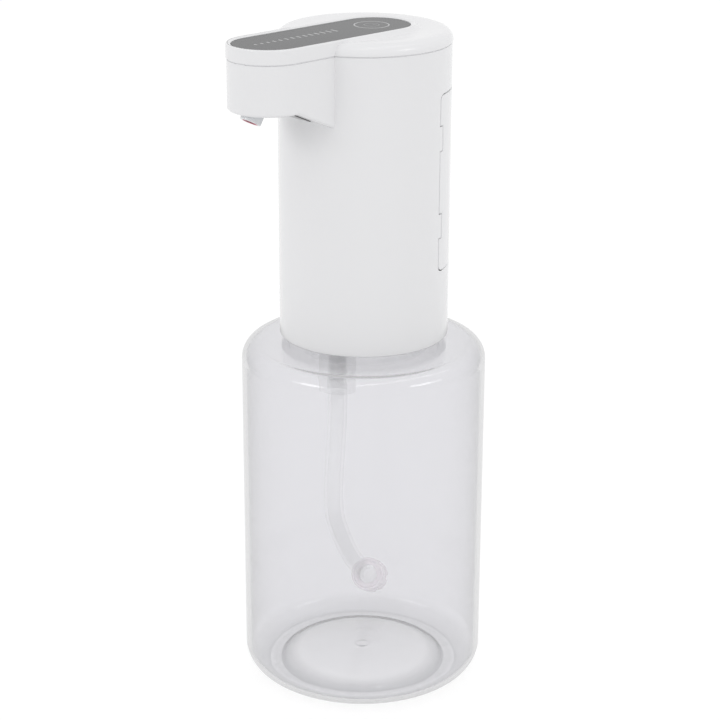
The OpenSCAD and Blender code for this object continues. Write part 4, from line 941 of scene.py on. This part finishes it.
def coverRim():
    # the raised rim round the panel: over the arm its outside is the arm's side, and over the round part it
    # runs down in a hollow slope whose width shrinks to nothing where the arm leaves the tower
    c, r = cover, armRadius + cover["proud"]
    loop = stadiumLoop(sideSteps=56)
    middle, nx, ny = loop
    hole, floorZ = panelRadius + c["panelGap"], panelLow[2]
    inside = rounded([(0, floorZ, 0), (hole, floorZ, 0.08 * mm), (hole, panelHigh[2] + 0.05 * mm, 0.1 * mm),
        (hole + c["lip"], c["rimTop"], 0.25 * mm), (r - c["rimRound"], c["rimTop"], 0)], 5)
    plug = armRadius - c["spigotInset"]
    over = rounded([(r - 1.2 * c["rimRound"], c["rimTop"], 0), (r, c["rimTop"], c["rimRound"]),
        (r, c["bottom"], 0.15 * mm), (r - c["groove"], c["bottom"], 0)], 12)
    under = np.array([(r - c["groove"], shellHigh[2]), (plug, shellHigh[2]), (plug, c["spigotBottom"]),
        (plug - c["spigotWall"], c["spigotBottom"]), (plug - c["spigotWall"], c["under"]), (0, c["under"])])
    armLine = np.vstack([over, under])
    room = towerRadius + c["proud"] - c["edgeRound"] * 0.8 - np.hypot(r * nx, middle + r * ny)
    # from the arm's side, share 0, to the hollow slope, share 1
    share = smooth(room / (1.2 * mm))[None]
    width = np.clip(0.8 * room, 0, c["flare"])[None]
    bendTurn = np.radians(np.linspace(90, 40, len(over) // 3))[:, None]
    bendX = r - c["rimRound"] * (1 - np.cos(bendTurn)) + 0 * width
    bendZ = c["rimTop"] - c["rimRound"] * (1 - np.sin(bendTurn)) + 0 * width
    s = np.linspace(0, 1, len(over) - len(bendTurn) + 1)[1:, None]
    foot = c["roundTop"] - c["dish"] - 0.12 * mm
    flareX = np.vstack([bendX, bendX[-1:] + (r + width - bendX[-1:]) * s,
        (r + width) * np.linspace(1, 0, len(under))[:, None] ** 0.5])
    flareZ = np.vstack([bendZ, foot + (bendZ[-1:] - foot) * (1 - s) ** 2.4,
        np.full((len(under), 1), c["under"] + 0.3 * mm) + 0 * width])
    radius = np.vstack([inside[:, :1] + 0 * share, armLine[:, :1] * (1 - share) + flareX * share])
    height = np.vstack([inside[:, 1:] + 0 * share, armLine[:, 1:] * (1 - share) + flareZ * share])
    return stadiumSweep(radius, height, loop)


makePiece("topCover", [coverDisc(), coverRim()], whiteShell, "head", ["top_cover"])
print("cover ready")


# the touch panel's colour and its printed marks
touch = {
    "base": (0.052, 0.053, 0.056),
    "mark": (0.40, 0.40, 0.41),
    "ringMiddle": rearY - 1.25 * mm,
    "ringRadius": 5.1 * mm,
    "ringHalfLine": 0.22 * mm,
    "symbolRadius": 2.2 * mm,
    "symbolHalfLine": 0.17 * mm,
    "symbolStrength": 0.45,
    "gapHalf": 0.9 * mm,                   # the switch sign's opening, and the stroke in it
    "stemMiddle": 1.6 * mm,
    "stemHalf": 1.1 * mm,
    "scaleFrom": -41.4 * mm,
    "scaleTo": -9.8 * mm,
    "scaleStep": 2.3 * mm,
    "scaleBar": 0.28,                      # share of a step that a bar fills
    "scaleHalf": 1.35 * mm,
    "scaleX": -1 * mm,
    "scaleFirst": 0.4,                     # first bar and what each next one adds, as shares of scaleHalf
    "scaleGrowth": 0.05,
}


def touchMaterial():
    # smoked panel with marks printed under it: a ring and a switch sign at the rear, and a row of bars of
    # growing length along the arm
    t = touch
    material, tree, shader = newMaterial("touchPanel", Specular_IOR_Level=0.1)
    skin = mouldedSkin(tree, t["base"], 0.18, tone=0.03, grain=0.8 * mm, spread=0.04)

    def work(operation, *values):
        return mathNode(tree, operation, *values)

    def within(value, middle, half):
        return work("LESS_THAN", work("ABSOLUTE", work("SUBTRACT", value, middle)), half)

    x, along = objectAxes(tree)[:2]
    y = work("SUBTRACT", along, float(t["ringMiddle"]))
    away = axisDistance(tree, x, y)
    ring = within(away, t["ringRadius"], t["ringHalfLine"])
    gap = work("MULTIPLY", within(x, 0.0, t["gapHalf"]), work("GREATER_THAN", y, 0.0))
    sign = work("MULTIPLY", within(away, t["symbolRadius"], t["symbolHalfLine"]), work("SUBTRACT", 1.0, gap))
    stem = work("MULTIPLY", within(x, 0.0, t["symbolHalfLine"]), within(y, t["stemMiddle"], t["stemHalf"]))
    symbol = work("MULTIPLY", work("MAXIMUM", sign, stem), t["symbolStrength"])
    steps = work("DIVIDE", work("SUBTRACT", along, t["scaleFrom"]), t["scaleStep"])
    inBar = work("LESS_THAN", work("FRACT", steps), t["scaleBar"])
    inScale = within(along, (t["scaleFrom"] + t["scaleTo"]) / 2, (t["scaleTo"] - t["scaleFrom"]) / 2)
    growth = work("MULTIPLY_ADD", work("FLOOR", steps), t["scaleGrowth"], t["scaleFirst"])
    bars = work("MULTIPLY", work("MULTIPLY", inBar, inScale),
        within(x, t["scaleX"], work("MULTIPLY", growth, t["scaleHalf"])))
    marks = work("MAXIMUM", work("MAXIMUM", ring, bars), symbol)
    colour = mixColour(tree, marks, skin.outputs["Colour"], (*t["mark"], 1))
    wearSkin(tree, shader, skin, 0.002 * mm, colour)
    return material


def makePanel():
    r, low, top = panelRadius, panelLow[2], panelHigh[2]
    line = rounded([(0, low, 0), (r, low, 0.1 * mm), (r, top, 0.2 * mm), (0, top, 0)], 5)
    loop = stadiumLoop()
    part = stadiumSweep(line[:, :1] + 0 * loop[1], line[:, 1:], loop)
    makePiece("touchPanel", [part], touchMaterial(), "head", ["touch_panel"])


makePanel()
print("panel ready")


def makeWindow():
    # a plate with round corners that stands a little out of the slope under the arm
    w = window
    halfX, halfY, c = w["halfWidth"], w["length"] / 2, w["corner"]
    turn = np.linspace(0, np.pi / 2, 7)
    signs = np.array([(1, 1), (-1, 1), (-1, -1), (1, -1)])
    angle = np.concatenate([turn + k * np.pi / 2 for k in range(4)])
    middle = np.repeat(signs * (halfX - c, halfY - c), len(turn), axis=0)
    out = np.stack([np.cos(angle), np.sin(angle)], axis=-1)
    low = -w["proud"]
    line = rounded([(-c, low, 0), (c, low, 0.15 * mm), (c, w["thickness"], 0), (-c, w["thickness"], 0)], 4)
    shrink = np.where(line[:, :1, None] < 0, 0.0, 1.0)
    points = np.concatenate([(middle * shrink + out * np.maximum(line[:, :1, None], 0)),
        line[:, 1:, None] + 0 * middle[None, :, :1]], axis=-1)
    cosine, sine = math.cos(slopeAngle), math.sin(slopeAngle)
    along = w["inset"] + halfY
    part = moved(surface(points, wrapCols=True), (0, kneeY + along * cosine, arm["under"] - along * sine),
        ((1, 0, 0), (0, cosine, -sine), (0, sine, cosine)))
    material = mouldedPlastic("smokedWindow", (0.012, 0.012, 0.015), roughness=0.09, tone=0.1, grain=1.2 * mm,
        depth=0.001 * mm, spread=0.04)
    makePiece("sensorWindow", [part], material, "head", ["ir_window"])


makeWindow()
print("window ready")


# the nozzle, measured along its own axis from the tip up
nozzle = {
    "tip": (0, noseY - 7.1 * mm, arm["under"] - 2.85 * mm),
    "tilt": 29.3,
    "tipRadius": 3.1 * mm,
    "rootRadius": 3.25 * mm,
    "mouth": 2.3 * mm,
    "mouthDepth": 5 * mm,
    "taper": 4.2 * mm,
    "flangeAt": 8.4 * mm,
    "flange": 3.8 * mm,
    "flangeWidth": 1.2 * mm,
    "top": 11.8 * mm,
    "barb": 1.12 * mm,
    "barbWall": 0.5 * mm,
    "colour": (0.70, 0.715, 0.735),
    # painted shade in the nozzle's bore
    "boreShadeColour": (0.015, 0.01, 0.012),
    "ringWidth": 0.35 * mm,                # the soft ring set into the mouth
    "ringDepth": 0.3 * mm,
    "ringColour": (0.72, 0.30, 0.36),
}
tilt = math.radians(nozzle["tilt"])
nozzleAxes = ((1, 0, 0), (0, math.cos(tilt), -math.sin(tilt)), (0, math.sin(tilt), math.cos(tilt)))


def nozzleMaterial():
    # milky plastic with painted shade in its bore: the bore's wall is what lies within the mouth's radius of
    # the nozzle's axis
    n = nozzle
    material, tree, shader = newMaterial("milkyNozzle", Coat_Weight=0.4, Coat_Roughness=0.08)
    skin = mouldedSkin(tree, n["colour"], 0.22, tone=0.02, grain=0.6 * mm, spread=0.06)
    fromTip = vectorNode(tree, "SUBTRACT", objectPlace(tree), n["tip"]).outputs[0]
    offAxis = vectorNode(tree, "CROSS_PRODUCT", fromTip, nozzleAxes[2]).outputs[0]
    reach = vectorNode(tree, "LENGTH", offAxis).outputs["Value"]
    inBore = mathNode(tree, "LESS_THAN", reach, n["mouth"] + 0.05 * mm)
    # painted shade: the bore is painted near black
    colour = mixColour(tree, inBore, skin.outputs["Colour"], (*n["boreShadeColour"], 1))
    wearSkin(tree, shader, skin, 0.003 * mm, colour)
    return material


def makeNozzle():
    # turned round its own tilted axis: a slightly tapered spout with a soft tip, a flange and a barb
    n = nozzle
    mouth, deep, tip, root = n["mouth"], n["mouthDepth"], n["tipRadius"], n["rootRadius"]
    flange, low, top = n["flange"], n["flangeAt"], n["flangeAt"] + n["flangeWidth"]
    barb, bore, end = n["barb"], n["barb"] - n["barbWall"], n["top"]
    line = rounded([(mouth, deep, 0), (mouth, 0, 0.1 * mm), (tip, 0, 0.3 * mm), (root, n["taper"], 0.5 * mm),
        (root, low, 0), (flange, low, 0.1 * mm), (flange, top, 0.1 * mm), (barb, top, 0.1 * mm),
        (barb, end, 0.1 * mm), (bore, end, 0.1 * mm), (bore, deep, 0), (mouth, deep, 0)], 5)
    inside, depth = mouth - n["ringWidth"], n["ringDepth"]
    ring = rounded([(inside, depth, 0), (inside, 0, 0.08 * mm), (mouth, -0.04 * mm, 0.08 * mm),
        (mouth, depth, 0), (inside, depth, 0)], 4)
    spout, seal = [moved(lathe(profile, 64, wrapRows=True), n["tip"], nozzleAxes) for profile in (line, ring)]
    pink = mouldedPlastic("pinkSilicone", n["ringColour"], roughness=0.4, tone=0.05, grain=0.3 * mm)
    makePiece("nozzle", [spout], nozzleMaterial(), "head", ["nozzle"])
    makePiece("nozzleRing", [seal], pink, "head", ["nozzle_ring"])


makeNozzle()
print("nozzle ready")


# the socket that grips the hose
socket = {
    "radius": 5.6 * mm,
    "flange": 6.8 * mm,
    "flangeWidth": 1 * mm,
    "hole": 1.6 * mm,                      # radius of the passage up to the pump
    "grip": 0.6 * mm,
    "colour": (0.93, 0.93, 0.935),
    "haze": 0.15,
}


def makeSocket():
    # the tube under the deck that grips the hose, with a soft lower edge; it is drawn without its bore, which
    # would only add layers of haze
    r, wide, hole, bore = socket["radius"], socket["flange"], socket["hole"], hose["radius"] + 0.05 * mm
    low, top = socketLow[2], socketHigh[2]
    grip, flange = low + socket["grip"], top - socket["flangeWidth"]
    line = rounded([(bore, grip, 0), (bore, low, 0.4 * mm), (r, low, 0.6 * mm), (r, flange, 0.3 * mm),
        (wide, flange, 0.1 * mm), (wide, top, 0.1 * mm), (hole, top, 0.1 * mm), (hole, flange, 0),
        (bore, grip, 0)], 5)
    middle = (socketLow + socketHigh) / 2
    part = moved(lathe(line, 64, wrapRows=True), (middle[0], middle[1], 0))
    material = mouldedPlastic("milkySocket", socket["colour"], roughness=0.3, tone=0.02, grain=0.5 * mm,
        Alpha=socket["haze"])
    makePiece("inletSocket", [part], material, "head", ["inlet_socket"])
    return material


milkySocket = makeSocket()
print("socket ready")


# finishes of the inner pieces
board = {
    "greens": ((0.02, 0.13, 0.05, 1), (0.03, 0.17, 0.07, 1)),
    "track": (0.10, 0.33, 0.14, 1),
    "pad": (0.62, 0.60, 0.55, 1),
    "tracksPerMetre": 420.0,
    "padsPerMetre": 300.0,
    "padSize": 0.16,
}
cell = {"jacket": (0.05, 0.06, 0.075, 1), "band": (0.42, 0.34, 0.16, 1), "bandHeight": 9 * mm}
wire = {"near": (0.02, 0.02, 0.022, 1), "far": (0.55, 0.03, 0.03, 1)}
armature = {"steel": (0.22, 0.21, 0.20, 1), "copper": (0.72, 0.33, 0.16, 1), "wires": 900.0, "plates": 320.0}


def boardMaterial():
    # green board: a lattice of thin paler lines for the tracks, with round tinned pads in some cells
    material, tree, shader = newMaterial("greenBoard", Specular_IOR_Level=0.6)
    place = objectPlace(tree)
    tracks = addNode(tree, "TexBrick", {"Vector": place}, offset=0.35, Scale=board["tracksPerMetre"],
        Mortar_Size=0.03, Color1=board["greens"][0], Color2=board["greens"][1], Mortar=board["track"])
    pads = addNode(tree, "TexVoronoi", {"Vector": place}, Scale=board["padsPerMetre"])
    pad = mathNode(tree, "LESS_THAN", pads.outputs["Distance"], board["padSize"])
    tree.links.new(mixColour(tree, pad, tracks.outputs["Color"], board["pad"]), shader.inputs["Base Color"])
    tree.links.new(mathNode(tree, "MULTIPLY_ADD", pad, -0.15, 0.42), shader.inputs["Roughness"])
    bumpTo(tree, shader, tracks.outputs["Fac"], 0.02 * mm)
    return material


def cellMaterial():
    # battery jacket: a dark body with a lighter band near the button end, under a thin glossy film
    material, tree, shader = newMaterial("cellJacket", Coat_Weight=0.6, Coat_Roughness=0.1, Metallic=0.4)
    skin = placeGroup(tree, brushed, Colour=cell["jacket"], Tone=0.2, Stretch=(1, 1, 0.2), Roughness=0.35)
    top = float(corners("battery_cell_1")[1][2])
    fromTop = mathNode(tree, "SUBTRACT", top, objectAxes(tree)[2])
    band = mathNode(tree, "LESS_THAN", fromTop, cell["bandHeight"])
    colour = mixColour(tree, band, skin.outputs["Colour"], cell["band"])
    wearSkin(tree, shader, skin, 0.002 * mm, colour)
    return material


def wireMaterial():
    # two insulated wires: red on the far side of the motor's axis, black on the near side
    material, tree, shader = newMaterial("wireJackets", Specular_IOR_Level=0.4)
    loomLow, loomHigh = corners("wire_loom")
    far = mathNode(tree, "LESS_THAN", objectAxes(tree)[1], float(loomLow[1] + loomHigh[1]) / 2)
    skin = mouldedSkin(tree, (0.9, 0.9, 0.9), 0.45, tone=0.05, grain=0.3 * mm, spread=0.05)
    colour = mixColour(tree, far, wire["near"], wire["far"])
    wearSkin(tree, shader, skin, 0.01 * mm, mixColour(tree, 1.0, colour, skin.outputs["Colour"], "MULTIPLY"))
    return material


def armatureMaterial():
    # stacked steel plates with copper wire between them
    material, tree, shader = newMaterial("armatureCore", Metallic=1.0)
    place = objectPlace(tree)
    wires = addNode(tree, "TexWave", {"Vector": place}, wave_type="BANDS", bands_direction="DIAGONAL",
        Scale=armature["wires"], Distortion=2.0)
    plates = addNode(tree, "TexWave", {"Vector": place}, wave_type="BANDS", bands_direction="Z",
        Scale=armature["plates"])
    colour = mixColour(tree, plates.outputs["Fac"], armature["steel"], armature["copper"])
    tree.links.new(colour, shader.inputs["Base Color"])
    tree.links.new(mathNode(tree, "MULTIPLY_ADD", wires.outputs["Fac"], 0.2, 0.3), shader.inputs["Roughness"])
    bumpTo(tree, shader, wires.outputs["Fac"], 0.05 * mm)
    return material


# the finish of each of the CAD's slots: a name, a colour, a roughness and what else differs from the usual
finishes = {
    "white_shell": whiteShell,
    "white_inner": mouldedPlastic("whiteInner", (0.86, 0.86, 0.865), 0.5, tone=0.02, grain=0.5 * mm),
    "screw_steel": brushedMetal("screwSteel", (0.62, 0.62, 0.61), 0.28),
    "board_green": boardMaterial(),
    "spring_steel": brushedMetal("springSteel", (0.66, 0.65, 0.62), 0.22, stretch=(6, 6, 1)),
    "contact_nickel": brushedMetal("contactNickel", (0.68, 0.65, 0.58), 0.25, stretch=(8, 1, 1)),
    "led_clear": mouldedPlastic("lampLens", (0.85, 0.84, 0.70), 0.15, Coat_Weight=0.5),
    "chip_black": mouldedPlastic("chipBlack", (0.03, 0.03, 0.032), 0.5, tone=0.1, grain=0.2 * mm,
        depth=0.01 * mm),
    "wire_red": wireMaterial(),
    "holder_grey": mouldedPlastic("holderGrey", (0.16, 0.16, 0.17), 0.5, tone=0.04),
    "lamp_clear": mouldedPlastic("senderLens", (0.55, 0.60, 0.68), 0.12, Coat_Weight=0.6),
    "lamp_black": mouldedPlastic("receiverLens", (0.015, 0.015, 0.02), 0.12, Coat_Weight=0.6),
    "milky_plastic": milkySocket,
    "seal_white": mouldedPlastic("sealWhite", (0.72, 0.72, 0.70), 0.6, tone=0.03, grain=0.3 * mm),
    "milky_tube": milkyHose,
    "pump_plastic": mouldedPlastic("pumpPlastic", (0.70, 0.70, 0.68), 0.45, tone=0.03, grain=0.5 * mm),
    "gear_ivory": mouldedPlastic("ivoryGear", (0.74, 0.70, 0.60), 0.42, tone=0.03, grain=0.3 * mm),
    "brass_pinion": brushedMetal("brassPinion", (0.72, 0.52, 0.22), 0.3),
    "shaft_steel": brushedMetal("shaftSteel", (0.70, 0.70, 0.70), 0.15, stretch=(1, 1, 20)),
    "seal_black": mouldedPlastic("sealBlack", (0.02, 0.02, 0.02), 0.6, tone=0.1, grain=0.3 * mm),
    "armature_core": armatureMaterial(),
    "magnet_dark": mouldedPlastic("magnetFerrite", (0.07, 0.07, 0.075), 0.55, tone=0.12, grain=0.25 * mm),
    "motor_steel": brushedMetal("motorSteel", (0.58, 0.57, 0.55), 0.32, stretch=(1, 1, 5)),
    "cap_black": mouldedPlastic("capBlack", (0.025, 0.025, 0.027), 0.45, tone=0.08),
    "terminal_brass": brushedMetal("terminalBrass", (0.70, 0.55, 0.28), 0.3, stretch=(1, 8, 1)),
    "cell_jacket": cellMaterial(),
}
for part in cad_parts.values():
    for holder in part.material_slots:
        slotName = holder.material.name if holder.material else ""
        if slotName in finishes:
            holder.material = finishes[slotName]
# painted shade: the valve deep in the nozzle's bore is painted near black
valveShadeMaterial = mouldedPlastic("valveShadedSilicone", (0.03, 0.012, 0.016), 0.45, tone=0.05, grain=0.3 * mm)
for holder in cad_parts["nozzle_valve"].material_slots:
    holder.material = valveShadeMaterial
print("inner pieces ready")


# floor, world and lamps
stage = {
    "floorSize": 6.0,
    "floorColour": 0.86,
    "floorSeen": 0.28,                     # the floor's colour and glow where it is seen: white where lit
    "floorGlow": 0.77,
    "skySeen": 1.0,
    "skyLow": 1.0,                         # light from the horizon and from straight above
    "skyHigh": 0.80,
}
lamps = [
    # name, place, height it aims at, width, height, power, and whether reflections show it
    ("stripLeft", (-0.08, -1.00, 0.72), 0.12, 0.42, 0.22, 1.1, True),
    ("stripRight", (0.98, 0.26, 0.72), 0.12, 0.42, 0.22, 0.95, True),
    ("stripOver", (0.32, 0.05, 1.15), 0.2, 1.2, 0.06, 0.75, True),
    ("sideLeft", (-0.90, -0.62, 0.30), 0.12, 0.30, 0.50, 0.3, False),
]


def seenPath(tree):
    # 1 for rays that come straight from the camera, a reflection or clear plastic
    path = addNode(tree, "LightPath").outputs
    first = mathNode(tree, "MAXIMUM", path["Is Camera Ray"], path["Is Glossy Ray"])
    return mathNode(tree, "MAXIMUM", first, path["Is Transmission Ray"])


def makeFloor():
    mesh = bpy.data.meshes.new("floor")
    half = stage["floorSize"] / 2
    sides = ((-half, -half, 0), (half, -half, 0), (half, half, 0), (-half, half, 0))
    mesh.from_pydata(sides, [], [(0, 1, 2, 3)])
    floor = addObject("floor", mesh)
    material, tree, shader = newMaterial("paleFloor", Roughness=0.9, Specular_IOR_Level=0.0,
        Emission_Color=grey(1))
    seen = seenPath(tree)
    colour = mixColour(tree, seen, grey(stage["floorColour"]), grey(stage["floorSeen"]))
    tree.links.new(colour, shader.inputs["Base Color"])
    tree.links.new(mathNode(tree, "MULTIPLY", seen, stage["floorGlow"]), shader.inputs["Emission Strength"])
    mesh.materials.append(material)


def makeWorld():
    # plain light from all round, a little weaker from straight above, and white where it is seen
    world = bpy.data.worlds.new("studio")
    world.use_nodes = True
    sky = world.node_tree
    background = sky.nodes["Background"]
    background.inputs["Color"].default_value = grey(1)
    up = addNode(sky, "SeparateXYZ", {0: addNode(sky, "TexCoord").outputs["Generated"]}).outputs[2]
    above, low = mathNode(sky, "MAXIMUM", up, 0.0), stage["skyLow"]
    cast = mathNode(sky, "MULTIPLY_ADD", above, stage["skyHigh"] - low, low)
    more = mathNode(sky, "SUBTRACT", stage["skySeen"], cast)
    sky.links.new(mathNode(sky, "MULTIPLY_ADD", seenPath(sky), more, cast), background.inputs["Strength"])
    bpy.context.scene.world = world


def makeLamps():
    for name, place, aimHeight, width, height, power, shown in lamps:
        light = bpy.data.lights.new(name, "AREA")
        light.shape, light.size, light.size_y, light.energy = "RECTANGLE", width, height, power
        lamp = addObject(name, light)
        aim = Vector((0, 0, aimHeight)) - Vector(place)
        lamp.matrix_world = Matrix.Translation(place) @ aim.to_track_quat("-Z", "Y").to_matrix().to_4x4()
        lamp.visible_camera = False
        lamp.visible_glossy = shown


makeFloor()
makeWorld()
makeLamps()
bpy.context.scene.view_settings.view_transform = "Standard"
print("stage ready")

bpy.context.view_layer.update()
